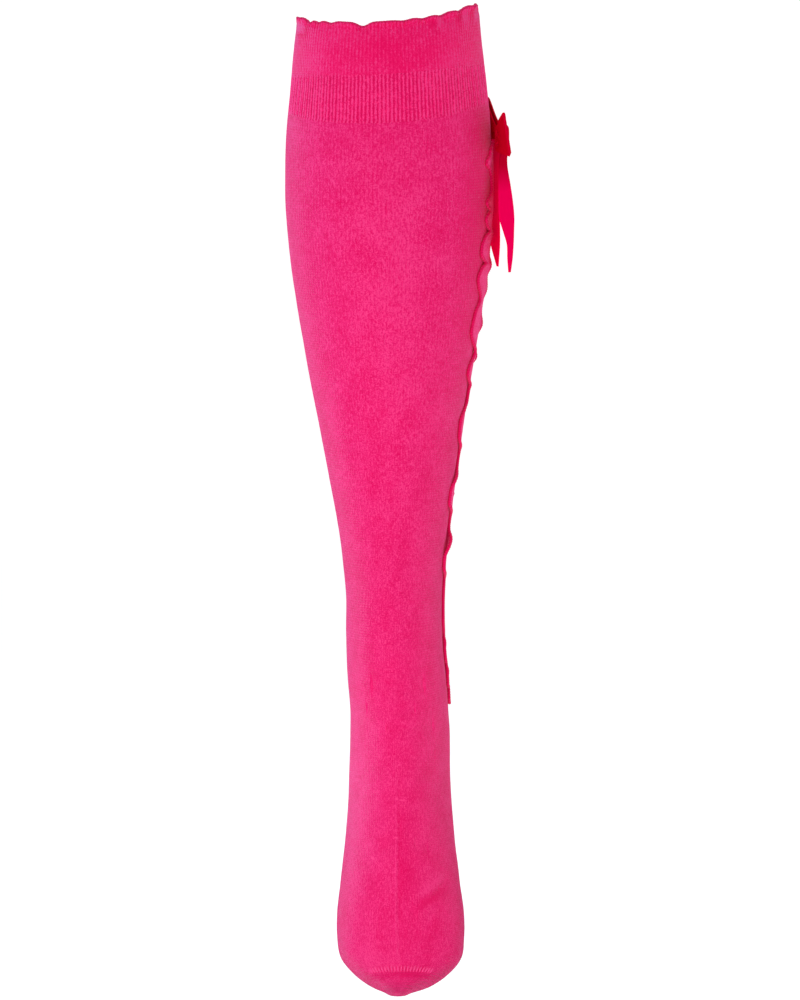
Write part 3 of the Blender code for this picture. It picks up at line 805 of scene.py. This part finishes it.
@dataclass
class KnitTube:
    """A length of the knitted tube, its wales raised and its creases pressed in."""

    name: str
    node: str
    start: float
    end: float
    rows: int
    finish: Material
    slot: str
    flat: Pair       # relaxed girth and length
    rests_on: str
    columns: int = 312
    wall: float = 1.4
    wale_depth: float = 0.16
    full_pitch: float = 1.5         # wales closer together than this are shallower
    uneven: tuple[Pair, ...] = ((0.045, 0.35), (0.21, 0.04))    # (waves to a mm, height)

    def swell(self, point: Vector) -> float:
        """How far the unevenness of the cloth stands out at a point."""
        return sum(noise.noise(point * scale) * height for scale, height in self.uneven)

    def relief(self, u: float, along: float, around: float, point: Vector) -> float:
        """How far the cloth stands out from the form.

        Args:
            u: Share round the tube.
            along: Distance along the sock.
            around: Angle round it.
            point: The form's own point.

        Returns:
            The distance, in millimetres.
        """
        radius = FORM.radius(along, around)
        pitch = radius * FULL_TURN / (self.columns / 2)
        wale = 0.5 + 0.5 * math.cos(u * self.columns / 2 * FULL_TURN)
        out = (wale - 1.0) * self.wale_depth * min(pitch / self.full_pitch, 1.0)
        out += self.swell(point)
        for crease in CREASES:
            out -= crease.at(along, around, radius)
        return out

    def place(self, u: float, v: float) -> Vector:
        """A point of the piece's outer face for shares round and along it."""
        along = self.start + (self.end - self.start) * v
        around = u * FULL_TURN
        point = FORM.on_ring(along, around)
        return point + FORM.outward(along, around) * self.relief(u, along, around, point)

    def sewn_on(self) -> list[Object]:
        """Make the separate pieces sewn on it, of which a plain tube has none."""
        return []

    def build(self) -> None:
        """Make the piece and the pieces sewn on it."""
        box = (0.0, self.start / FORM.end, 1.0, self.end / FORM.end)
        shape = shaped_grid(self.columns, self.rows, self.place, box)
        thicken(shape, self.wall, FORM.centre((self.start + self.end) / 2) * MM)
        piece = finished(self.name, shape, self.finish, self.slot, self.node)
        self.sewn_on()


@dataclass
class RibBand(KnitTube):
    """The band of raised ribs under the welt: strong and weak ones by turns."""

    columns: int = 624
    ribs: int = 156
    rib_depth: float = 0.62
    weak_depth: float = 0.26
    flatness: float = 0.8           # exponent that widens the ribs' tops
    fade: float = 1.4               # over which the ribs sink in at both ends
    uneven: tuple[Pair, ...] = ((0.045, 0.35), (0.3, 0.06))

    def relief(self, u: float, along: float, around: float, point: Vector) -> float:
        """How far the ribs and furrows stand out from the form."""
        count = u * self.ribs
        rib = 0.5 + 0.5 * math.cos(count * FULL_TURN)
        weak = 0.5 - 0.5 * math.cos(count * math.pi)
        out = -self.rib_depth * (1 - rib) ** self.flatness - self.weak_depth * weak * rib
        ends = min(along - self.start, self.end - along) / self.fade
        return out * min(max(ends, 0.0), 1.0) + self.swell(point)


# Where the hem dips and where it stands out in lobes: (degrees round, height).
HEM_DIPS = (
    (-83, 1.2), (-60, 2.3), (-50, 1.5), (-39, 1.2), (-16, 2.2), (10, 0.7), (23, 1.1), (36, 1.4),
    (52, 1.7), (81, 1.7), (90, 1.3), (99, 1.5), (118, 1.6), (137, 1.2), (151, 1.0), (169, 1.9),
    (188, 0.9), (206, 1.5), (224, 1.2), (239, 1.8), (258, 1.3),
)
HEM_LOBES = (
    (-74, 1.5), (-27, 0.5), (31, 1.0), (46, 1.5), (67, 1.8), (108, 1.2), (144, 1.0), (178, 1.3),
    (214, 1.1), (249, 1.4),
)
def bumps(table: Sequence[Pair], around: float, spread: float = 4.5) -> float:
    """Sum of soft bumps round a ring.

    Args:
        table: Each bump's angle in degrees and its height.
        around: Where to read, in radians.
        spread: The bumps' width in degrees.

    Returns:
        The height there.
    """
    angle = math.degrees(around)
    return sum(height * math.exp(-((((angle - at + 180) % 360 - 180) / spread) ** 2))
               for at, height in table)


@dataclass
class Welt(KnitTube):
    """The plain top band and its edge, which is stretched into a lettuce wave."""

    thread: Material | None = None
    edge_height: float = 5.0
    edge_ease: float = 1.5          # exponent with which the edge flares
    flare: float = 0.8
    tuck: float = 0.5
    tucked_at: float = 1.4          # the dip that is tucked in all the way
    lobe_drop: float = 0.35         # how far a lobe hangs, as a share of its height
    roll_radius: float = 0.65
    roll_rise: float = 0.5
    roll_inset: float = 0.45        # as a share of the wall
    stitch_pitch: float = 1.5
    puckers: float = 156.0
    pucker_depth: float = 0.24
    pucker_height: float = 16.0
    groove_depth: float = 0.15      # under the rolled edge
    groove_at: float = 2.3
    groove_width: float = 0.8

    def relief(self, u: float, along: float, around: float, point: Vector) -> float:
        """How far the cloth stands out: the stretched edge puckers the knit under it."""
        held = max(0.0, 1 - along / self.pucker_height)
        ripple = math.cos(u * self.puckers * FULL_TURN) * self.pucker_depth * held
        groove = math.exp(-(((along - self.groove_at) / self.groove_width) ** 2))
        return super().relief(u, along, around, point) + ripple - groove * self.groove_depth

    def place(self, u: float, v: float) -> Vector:
        """A point of the welt, which flares at its edge's crests and tucks in at its dips."""
        point = super().place(u, v)
        along = self.start + (self.end - self.start) * v
        share = max(0.0, 1 - along / self.edge_height)
        if share:
            around = u * FULL_TURN
            drop, lobe = bumps(HEM_DIPS, around), bumps(HEM_LOBES, around)
            out = self.flare - (self.flare + self.tuck) * min(drop / self.tucked_at, 1.0) + lobe
            point += FORM.outward(0.0, around) * out * share ** self.edge_ease
            point.z -= drop * share + lobe * self.lobe_drop * share ** 3
        return point

    def sewn_on(self) -> list[Object]:
        """Make the rolled edge."""
        def line(v: float) -> Cross:
            out = FORM.outward(0.0, v * FULL_TURN)
            out.z = 0.0
            out.normalize()
            centre = self.place(v, 0.0) - out * self.wall * self.roll_inset
            centre.z += self.roll_rise
            return centre, out, Vector((0.0, 0.0, 1.0))

        stitches = round(WORN_GIRTH / self.stitch_pitch)
        shape = sewn_edge(10, self.roll_radius, 0.06, stitches, line, closed=True)
        return [finished("hem_overlock", shape, self.thread, self.slot)]


@dataclass
class ToeCap(KnitTube):
    """The toe, drawn in and closed at its tip."""

    tip: float = 2.2
    tip_share: float = 0.12         # share of its rows that close over the tip

    def place(self, u: float, v: float) -> Vector:
        """A point of the toe; the last rows close over the tip."""
        if v <= 1 - self.tip_share:
            return super().place(u, v / (1 - self.tip_share))
        turn = (v - 1 + self.tip_share) / self.tip_share * math.pi / 2
        centre = FORM.centre(self.end)
        ahead = Vector((0.0, -math.cos(FOOT_PITCH), -math.sin(FOOT_PITCH)))
        rim = super().place(u, 1.0)
        return centre + (rim - centre) * math.cos(turn) + ahead * self.tip * math.sin(turn)


# The ruffle


class Edge(Enum):
    """The ruffle's two edges."""

    NEAR = -1.0     # the one nearer the shin
    FAR = 1.0       # the one nearer the calf


def downwards(rows: Sequence[Sequence[float]]) -> list[tuple[float, ...]]:
    """Columns of a table whose first one holds heights, turned to rise down the sock."""
    return list(zip(*[(-row[0], *row[1:]) for row in rows]))


# The sewing line as (height, degrees round), and each edge as (height, degrees round, lift).
RUFFLE_LINE = downwards((
    (-10, 93), (-35, 92), (-60, 87), (-90, 83), (-125, 84), (-150, 90), (-175, 95), (-205, 97),
    (-228, 95), (-247, 99), (-270, 99), (-310, 104), (-335, 104), (-352, 99),
))
EDGES = {
    Edge.NEAR: downwards((
        (-33, 86, 0.4), (-36, 77, 0.6), (-39, 74, 0.7), (-40.5, 69.5, 0.9), (-42.5, 68.5, 0.9),
        (-44.5, 73, 0.8), (-46.5, 75.5, 0.8), (-50, 77, 0.8), (-55, 78, 0.8), (-58.5, 74, 0.9),
        (-61.5, 69, 0.9), (-64.5, 73.5, 1), (-66, 77, 1.2), (-68.5, 72, 0.9), (-71, 70, 0.9),
        (-75, 74, 0.9), (-78, 79, 1.6), (-81, 72, 1), (-84.5, 68, 1), (-88.5, 66.5, 0.9),
        (-92, 68, 0.9), (-95, 74, 1.2), (-96.5, 74.5, 2), (-98.5, 71, 1.2), (-102, 67, 0.9),
        (-105.5, 66, 0.9), (-110, 69, 0.9), (-115, 74, 1), (-119, 74, 0.9), (-122.5, 70, 0.8),
        (-127, 68, 0.7), (-131.5, 67, 0.7), (-136, 67, 0.7), (-140, 71, 0.9), (-146, 80, 1.8),
        (-150.5, 80.5, 1.2), (-154.5, 73, 0.9), (-159, 72, 0.8), (-162, 76, 1), (-166, 84, 1.8),
        (-169, 87, 1.4), (-176.5, 87, 1.4), (-180.5, 81, 0.9), (-184.5, 73.5, 0.7), (-190, 73, 0.7),
        (-195, 74.5, 0.7), (-197.5, 77, 1.2), (-200.5, 82, 1.7), (-204, 90, 1.2), (-214, 91, 1.2),
        (-218, 83, 1.8), (-221, 76, 1.8), (-224, 72, 1.2), (-228.5, 71, 0.8), (-232.5, 71, 0.8),
        (-235, 73, 1.6), (-238.5, 84, 1.4), (-243, 92, 1), (-250, 93, 1.4), (-254, 86, 3),
        (-258, 78, 3), (-261, 77, 2), (-265, 75, 1), (-269, 76, 0.8), (-272, 75, 1.6),
        (-275, 85, 1.4), (-279, 92, 1), (-283, 89, 1), (-292, 89, 0.8), (-298, 89, 0.8),
        (-302.5, 86, 0.8), (-306.5, 89, 1), (-311, 94, 0.8), (-315, 89, 1.5), (-320, 88, 1),
        (-324.5, 86.5, 1), (-328, 92, 0.8), (-332, 88, 1.5), (-336, 87, 1), (-340, 84, 0.8),
        (-343, 92, 0.8), (-348, 86, 1), (-354, 90, 0.4),
    )),
    Edge.FAR: downwards((
        (-34, 94.5, 0.1), (-38, 94, 0.1), (-42, 94.5, 0.1), (-47, 93, 0.2), (-55, 94, 0.4),
        (-60, 95, 0.5), (-67, 94, 0.9), (-74, 97, 0.6), (-80, 92, 1.6), (-86, 97, 1),
        (-93, 96, 0.9), (-98, 90, 2), (-104, 97, 1), (-112, 94, 1.4), (-118, 99, 0.9),
        (-126, 98, 1), (-132, 93, 1.8), (-138, 100, 1), (-146, 101, 1), (-151, 98, 2),
        (-157, 108, 1), (-164, 109, 0.9), (-169, 103, 2), (-175, 111, 1.2), (-184, 112, 0.9),
        (-190, 106, 1.8), (-196, 114, 1), (-205, 115, 1), (-210, 107, 2.2), (-216, 114, 1.2),
        (-225, 115, 1), (-230, 108, 2.2), (-237, 117, 1), (-245, 120, 1), (-250, 112, 2.4),
        (-256, 120, 1.2), (-264, 122, 1), (-269, 114, 2.2), (-276, 122, 1), (-284, 124, 1.2),
        (-289, 116, 2.2), (-296, 127, 1), (-304, 128, 1), (-309, 120, 2), (-316, 128, 1),
        (-324, 128, 1.2), (-329, 120, 2.2), (-336, 127, 1), (-344, 122, 1.2), (-354, 113, 0.4),
    )),
}


@dataclass
class Ruffle:
    """A knit strip sewn down the leg by its middle, both edges overlocked into waves."""

    knit: Material
    thread: Material
    top: float = -33.0
    bottom: float = -352.0
    clearance: float = 0.45
    wall: float = 0.8
    across: int = 18
    along: int = 720
    edge_radius: float = 0.95
    stitch_pitch: float = 1.4
    seam_width: float = 0.07
    seam_depth: float = 0.25
    pressed: Pair = (1.1, 0.3)      # how much of its lift each edge has lost
    halfway: Pair = (0.55, 0.4)     # a place out from the seam, and its share of the lift
    weave: Pair = (0.065, 0.6)      # its width and length on the knit's UV map
    flat: Pair = (27.0, 345.0)
    slot: str = "ruffle_knit"

    def place(self, u: float, v: float, out: float | None = None) -> Vector:
        """A point of the strip, for shares across and along it.

        Args:
            u: Share across it.
            v: Share along it.
            out: Height over its lower face, which is its wall unless stated.

        Returns:
            The point.
        """
        z = self.top + (self.bottom - self.top) * v
        side = u * 2 - 1
        downs, degrees, lifts = EDGES[Edge.NEAR if side < 0 else Edge.FAR]
        edge = smooth(downs, degrees, -z)
        lift = max(smooth(downs, lifts, -z) - self.pressed[side > 0], 0.0)
        line = smooth(*RUFFLE_LINE, -z)
        half_out, half_up = self.halfway
        rise = smooth((0.0, half_out, 1.0), (0.0, half_up, 1.0), abs(side)) * lift
        rise -= math.exp(-((side / self.seam_width) ** 2)) * self.seam_depth
        around = math.radians(line + (edge - line) * abs(side))
        height = self.clearance + rise + (self.wall if out is None else out)
        return FORM.point(FORM.length_at_height(z), around, height)

    def rolled(self, edge: Edge) -> Object:
        """Make one overlocked edge.

        Args:
            edge: Which edge.

        Returns:
            The piece.
        """
        u = 0.0 if edge is Edge.NEAR else 1.0
        middle, step = self.wall / 2, 0.001

        def line(v: float) -> Cross:
            here = self.place(u, v, middle)
            ahead = (self.place(u, min(v + step, 1.0), middle)
                     - self.place(u, max(v - step, 0.0), middle)).normalized()
            over = (self.place(u, v, middle + 1.0) - here).normalized()
            aside = ahead.cross(over).normalized()
            return here, aside, aside.cross(ahead).normalized()

        stitches = round(self.flat[1] / self.stitch_pitch)
        shape = sewn_edge(8, self.edge_radius, 0.12, stitches, line, closed=False)
        return finished(f"ruffle_overlock_{edge.name.lower()}", shape, self.thread, self.slot)

    def build(self) -> None:
        """Make the strip and its edges."""
        shape = shaped_grid(self.across, self.along, self.place, (0.0, 0.0, *self.weave))
        inside_leg = FORM.centre(FORM.end / 3) * MM
        thicken(shape, self.wall, inside_leg)
        piece = finished("ruffle_strip", shape, self.knit, self.slot, "ruffle")
        edges = [self.rolled(edge) for edge in Edge]


# The bow


# A place along a ribbon: the x, y and z of its middle, the degrees that its width leans from +Z
# towards -Y, the degrees that the leaning width turns from -Y towards +X, and its width.
RibbonRow = tuple[float, float, float, float, float, float]


@dataclass
class Ribbon:
    """A length of satin ribbon, gathered where the knot holds it."""

    name: str
    node: str
    rows: tuple[RibbonRow, ...]
    flat: Pair
    satin: Material
    cut_area: float | None = None   # where the cut isn't a rectangle
    gathered_ends: tuple[bool, bool] = (True, True)
    pleat_height: float = 0.9
    pleats: float = 2.5
    pleat_phase: float = 0.6
    pleat_run: float = 1.6          # rows over which the pleats open out
    pleat_ease: float = 1.3         # and the exponent with which they do
    wall: float = 0.6
    across: int = 16
    along: int = 110

    def spine(self, t: float) -> tuple[Vector, Vector, float]:
        """Centre, direction across and width at a place along the ribbon.

        Args:
            t: The place, counted in rows.

        Returns:
            The centre, the unit direction across and the width.
        """
        at = range(len(self.rows))
        x, y, z, lean, turn, width = (smooth(at, column, t) for column in zip(*self.rows))
        lean, turn = math.radians(lean), math.radians(turn)
        across = Vector((
            math.sin(lean) * math.sin(turn), -math.sin(lean) * math.cos(turn), math.cos(lean)
        ))
        return Vector((x, y, z)), across, width

    def place(self, u: float, v: float) -> Vector:
        """A point of the ribbon's middle layer, for shares across and along it."""
        last, step = len(self.rows) - 1, 0.02
        t = v * last
        centre, across, width = self.spine(t)
        ahead = self.spine(min(t + step, last))[0] - self.spine(max(t - step, 0.0))[0]
        normal = across.cross(ahead).normalized()
        side = u * 2 - 1
        off = 0.0
        for end, held in zip((t, last - t), self.gathered_ends):
            if held and end < self.pleat_run:
                share = (1 - end / self.pleat_run) ** self.pleat_ease
                wave = math.cos(side * self.pleats * math.pi + self.pleat_phase)
                off += self.pleat_height * share * wave
        return centre + across * (width / 2 * side) + normal * off

    def build(self) -> None:
        """Make the ribbon."""
        shape = shaped_grid(self.across, self.along, self.place)
        thicken(shape, self.wall)
        bmesh.ops.recalc_face_normals(shape, faces=shape.faces)
        piece = finished(self.name, shape, self.satin, SATIN_SLOT, self.node)


NEAR_LOOP = (
    (66.6, -4.9, -26, 0, 0, 11), (67.4, -9, -25.3, 3, -90, 17), (67.9, -16, -23.4, 7, -90, 21),
    (67.9, -23, -22, 9, -90, 22.5), (67.4, -28, -22, 9, -90, 23.5),
    (66.5, -29.3, -22.8, 9, -90, 25), (65.8, -26.5, -23, 8, -90, 24),
    (64.4, -19, -23.6, 6, -90, 21.5), (62.8, -11, -24.4, 3, -90, 18.5), (61.9, -5, -25, 0, 0, 15),
)
FAR_LOOP = (
    (65.6, 4.7, -25, 0, 0, 9), (63.3, 9, -23.6, 8, 0, 13), (60.9, 14.5, -20.5, 16, 0, 18),
    (59, 20.5, -17, 20, 0, 22.5), (57.6, 26, -14.4, 22, 0, 25), (56.2, 28.2, -13.6, 22, 0, 25),
    (56, 25.2, -14.8, 21, 0, 24.5), (58, 18.6, -18.2, 18, 0, 21), (60.5, 11, -22.4, 10, 0, 15),
    (63.3, 5, -24.8, 0, 0, 9),
)
FRONT_TAIL = (
    (65.9, -0.5, -33.6, 90, -20, 10), (65.8, -1.5, -41, 90, -18, 15),
    (66.4, -4, -50, 90, -18, 21.5), (67.2, -6, -60, 90, -19, 25), (67.9, -6, -70, 90, -20.5, 25),
    (69.2, -2.4, -79, 90, -20.5, 17), (70.1, 0.6, -86, 90, -20.5, 10.5),
    (70, 1.8, -94, 90, -20.5, 8), (69.8, 2.4, -102, 90, -20.5, 3),
)
BACK_TAIL = (
    (61, 4.5, -26, 90, 14, 15), (62.2, 6, -33.6, 90, 12, 16), (62.6, 8.5, -41, 90, 10.5, 18),
    (62.5, 12, -50, 90, 9, 22), (62.1, 16, -60, 90, 8.5, 25), (61.8, 18.6, -70, 90, 10, 25),
    (61.6, 19, -80, 90, 12, 25), (62, 16.6, -88, 90, 12, 20), (63.1, 9.8, -99, 90, 12, 3),
)


@dataclass
class Knot:
    """The ribbon wrapped round the middle of the bow."""

    satin: Material
    centre: Place3 = (64.9, 0.0, -25.5)
    size: Place3 = (8.4, 8.4, 15.6)
    squareness: float = 0.4
    fold_height: float = 0.35
    folds: float = 3.0
    fold_phase: float = 0.5

    def build(self) -> None:
        """Make the knot."""
        shape = bmesh.new()
        shape.loops.layers.uv.new(UV_NAME)
        bmesh.ops.create_uvsphere(shape, u_segments=56, v_segments=40, radius=1.0, calc_uvs=True)
        for vert in shape.verts:
            unit = vert.co.copy()
            for axis in range(3):
                part = unit[axis]
                vert.co[axis] = math.copysign(abs(part) ** self.squareness, part)
                vert.co[axis] *= self.size[axis] / 2
            fold = math.cos(vert.co.y / self.size[1] * 2 * self.folds * math.pi + self.fold_phase)
            vert.co += unit * (fold - 1) * self.fold_height / 2
            vert.co = (vert.co + Vector(self.centre)) * MM
        finished("bow_knot_wrap", shape, self.satin, SATIN_SLOT, "bow_knot")


# The toe's seam


@dataclass
class ToeSeam:
    """The upright stitches of the linked seam across the top of the toe."""

    thread: Material
    along: float = 582.5
    half_angle: float = 43.0
    stitches: int = 21
    length: float = 3.6
    radius: float = 0.42
    flatness: float = 0.8           # height of a stitch, as a share of its width
    sunk: float = 0.1

    def build(self) -> None:
        """Make the stitches."""
        shape = bmesh.new()
        shape.loops.layers.uv.new(UV_NAME)
        for i in range(self.stitches):
            around = math.radians(-self.half_angle + 2 * self.half_angle * i / (self.stitches - 1))
            upper = FORM.point(self.along - self.length / 2, around, -self.sunk)
            lower = FORM.point(self.along + self.length / 2, around, -self.sunk)
            out = FORM.outward(self.along, around)
            down = (lower - upper).normalized()
            frame = Matrix((out.cross(down), out, down)).transposed().to_4x4()
            frame.translation = (upper + lower) / 2
            made = bmesh.ops.create_uvsphere(shape, u_segments=8, v_segments=6, radius=1.0)
            size = Matrix.Diagonal((self.radius, self.radius * self.flatness, self.length / 2, 1.0))
            bmesh.ops.transform(shape, matrix=Matrix.Scale(MM, 4) @ frame @ size,
                                verts=made["verts"])
        finished("toe_linking", shape, self.thread, SOCK_SLOT)


# Studio


class Lamp(NamedTuple):
    """A square soft light."""

    name: str
    place: Place3
    size: float         # length of its side
    power: float        # in watts
    colour: Colour = (1.0, 1.0, 1.0)
    target: Place3 | None = None    # where it points, which is the sock's middle unless stated
    spread: float = 180.0           # how widely it shines, in degrees


LAMPS = (
    Lamp("key", (-1.8, -2.4, 2.2), 1.8, 19.0),
    Lamp("fill", (1.9, -1.6, 0.2), 1.4, 1.8),
    Lamp("rim_left", (-1.7, 0.8, 0.1), 1.2, 19.0, (0.2, 0.85, 1.0)),
    Lamp("rim_right", (1.7, 0.5, 0.1), 1.2, 3.0, (0.8, 0.95, 1.0)),
    Lamp("instep", (-0.35, -1.5, -0.3), 0.4, 0.62, target=(0.0, 0.0, -0.48), spread=45.0),
)


@dataclass
class Studio:
    """Floor, backdrop, lights and camera."""

    paper: Material
    floor_z: float = -0.62
    half_width: float = 3.0
    front: float = -3.0
    back: float = 4.6
    top: float = 3.0
    bend: float = 0.8
    target: Place3 = (0.0067, 0.0, -0.233)
    elevation: float = 6.0
    distance: float = 2.40
    lens: float = 150.0
    sensor: float = 36.0
    sight: float = 50.0             # how far the camera sees
    air: float = 0.62               # strength of the light from all round

    def cove(self) -> None:
        """Make the floor, which curves up into the backdrop."""
        flat = self.back - self.bend - self.front
        arc = self.bend * math.pi / 2
        rise = self.top - self.floor_z - self.bend
        total = flat + arc + rise

        def place(u: float, v: float) -> Vector:
            x = (u * 2 - 1) * self.half_width
            run = v * total
            if run <= flat:
                y, z = self.front + run, self.floor_z
            elif run <= flat + arc:
                turn = (run - flat) / self.bend
                y = self.back - self.bend + self.bend * math.sin(turn)
                z = self.floor_z + self.bend * (1 - math.cos(turn))
            else:
                y, z = self.back, self.floor_z + self.bend + run - flat - arc
            return Vector((x, y, z)) / MM

        linked("studio_cove", shaped_grid(2, 60, place), self.paper)

    def aim(self, name: str, data: bpy.types.ID, place: Vector, target: Place3) -> Object:
        """Put a lamp or camera in its place.

        Args:
            name: Its name.
            data: The lamp or camera.
            place: Where it is.
            target: Where it points.

        Returns:
            Its object.
        """
        made = bpy.data.objects.new(name, data)
        made.location = place
        made.rotation_euler = (Vector(target) - place).to_track_quat("-Z", "Y").to_euler()
        bpy.context.scene.collection.objects.link(made)
        return made

    def camera(self) -> None:
        """Add the camera at the photograph's angle."""
        data = bpy.data.cameras.new("camera")
        data.lens, data.sensor_fit, data.sensor_width = self.lens, "AUTO", self.sensor
        data.clip_end = self.sight
        tilt = math.radians(self.elevation)
        place = Vector(self.target) + Vector((0.0, -math.cos(tilt), math.sin(tilt))) * self.distance
        bpy.context.scene.camera = self.aim("camera", data, place, self.target)

    def build(self) -> None:
        """Make the whole studio."""
        self.cove()
        self.camera()
        for lamp in LAMPS:
            data = bpy.data.lights.new(lamp.name, "AREA")
            data.size, data.energy, data.color = lamp.size, lamp.power, lamp.colour
            data.spread = math.radians(lamp.spread)
            self.aim(lamp.name, data, Vector(lamp.place), lamp.target or self.target)
        world = bpy.data.worlds.new("studio_air")
        world.use_nodes = True
        sky = world.node_tree.nodes["Background"]
        sky.inputs["Color"].default_value = (1.0, 1.0, 1.0, 1.0)
        sky.inputs["Strength"].default_value = self.air
        bpy.context.scene.world = world
        bpy.context.scene.view_settings.view_transform = "Standard"


def main() -> None:
    """Dress the sock and build the studio round it."""
    logging.basicConfig(level=logging.INFO, format="%(message)s")
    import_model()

    jersey = KnitFinish("pink_jersey", girth=WORN_GIRTH, marks=LEG_MARKS).build()
    foot_jersey = KnitFinish("pink_foot_jersey", speck_scale=1900.0, marks=FOOT_MARKS).build()
    # The welt and the rib band have their furrows painted darker than the leg's, a painted shade.
    welt_jersey = KnitFinish("pink_welt_jersey", (0.835, 0.002, 0.109), (0.905, 0.013, 0.158),
                             level=0.58, painted_furrow_shade=0.5, girth=WORN_GIRTH, marks=HEM_MARKS).build()
    rib_jersey = KnitFinish("pink_rib_jersey", (0.725, 0.002, 0.098), (0.905, 0.013, 0.158),
                            (0.945, 0.047, 0.240), painted_furrow_shade=1.2, specks=3.0).build()
    # Painted light: the ruffle's knit is paler than the leg's, standing in for the sheen on its
    # lobes, and has a stronger painted glow.
    frill_jersey = KnitFinish("pink_ruffle_jersey", base=(0.84, 0.020, 0.170),
                              light=(0.92, 0.052, 0.250), level=0.56, wales=220.0, sheen=0.2,
                              through=0.13).build()
    # Painted shade: the ruffle's overlock thread is darker than the knit, standing in for the shadow
    # line along the ruffle's edge, and has a painted glow.
    thread = ThreadFinish("pink_overlock_thread", (0.76, 0.0, 0.110), (0.66, 0.0, 0.080),
                          sheen=0.12, through=0.12).build()
    hem_thread = ThreadFinish("pink_hem_thread", (0.76, 0.014, 0.150), (0.64, 0.006, 0.095),
                              sheen=0.15).build()
    # Painted shade at the top of each tail under the knot, and a painted glow; the back tail's satin
    # glows more, standing in for light coming through it from behind.
    satin = SatinFinish("pink_satin", 0.09, shaded=(0.46, 0.0, 0.013)).build()
    lit_satin = SatinFinish("pink_satin_lit_from_behind", 0.16, shaded=(0.60, 0.0, 0.030)).build()
    # Painted shade: a darker copy of the satin for the knot and the loops, which lie in shade
    # between the leg and the bow.
    painted_shade_satin = SatinFinish("pink_satin_shaded", 0.02, (0.60, 0.0, 0.020),
                             (0.74, 0.0, 0.038)).build()

    rib_top, rib_bottom, ankle, toe = (
        FORM.length_of(name) for name in ("rib_top", "rib_bottom", "ankle", "toe_start"))
    for tube in (
        Welt("welt_knit", "welt", 0.0, rib_top, 44, welt_jersey, CUFF_SLOT, (280.0, 30.0),
             "rib_band_knit", thread=hem_thread),
        RibBand("rib_band_knit", "rib_band", rib_top, rib_bottom, 20, rib_jersey, CUFF_SLOT,
                (285.0, 27.0), "leg_knit"),
        KnitTube("leg_knit", "leg", rib_bottom, ankle, 110, jersey, SOCK_SLOT, (230.0, 300.0),
                 "foot_knit"),
        KnitTube("foot_knit", "foot", ankle, toe, 84, foot_jersey, SOCK_SLOT, (190.0, 190.0),
                 "toe_knit"),
        ToeCap("toe_knit", "toe", toe, FORM.end, 28, foot_jersey, SOCK_SLOT, (140.0, 42.0),
               "foot_knit"),
    ):
        tube.build()
    ToeSeam(ThreadFinish("pink_linking_thread", (0.95, 0.062, 0.285),
                         (0.88, 0.028, 0.195)).build()).build()
    Ruffle(frill_jersey, thread).build()
    Knot(painted_shade_satin).build()
    Ribbon("bow_loop_near_ribbon", "bow_loop_near", NEAR_LOOP, (25.0, 60.0), painted_shade_satin).build()
    Ribbon("bow_loop_far_ribbon", "bow_loop_far", FAR_LOOP, (25.0, 62.0), painted_shade_satin).build()
    Ribbon("bow_tail_front_ribbon", "bow_tail_front", FRONT_TAIL, (25.0, 70.0), satin,
           1360.0, (True, False), along=80).build()
    Ribbon("bow_tail_back_ribbon", "bow_tail_back", BACK_TAIL, (25.0, 67.0), lit_satin,
           1500.0, (True, False), along=80).build()
    Studio(PaperFinish().build()).build()


if __name__ == "__main__":
    main()
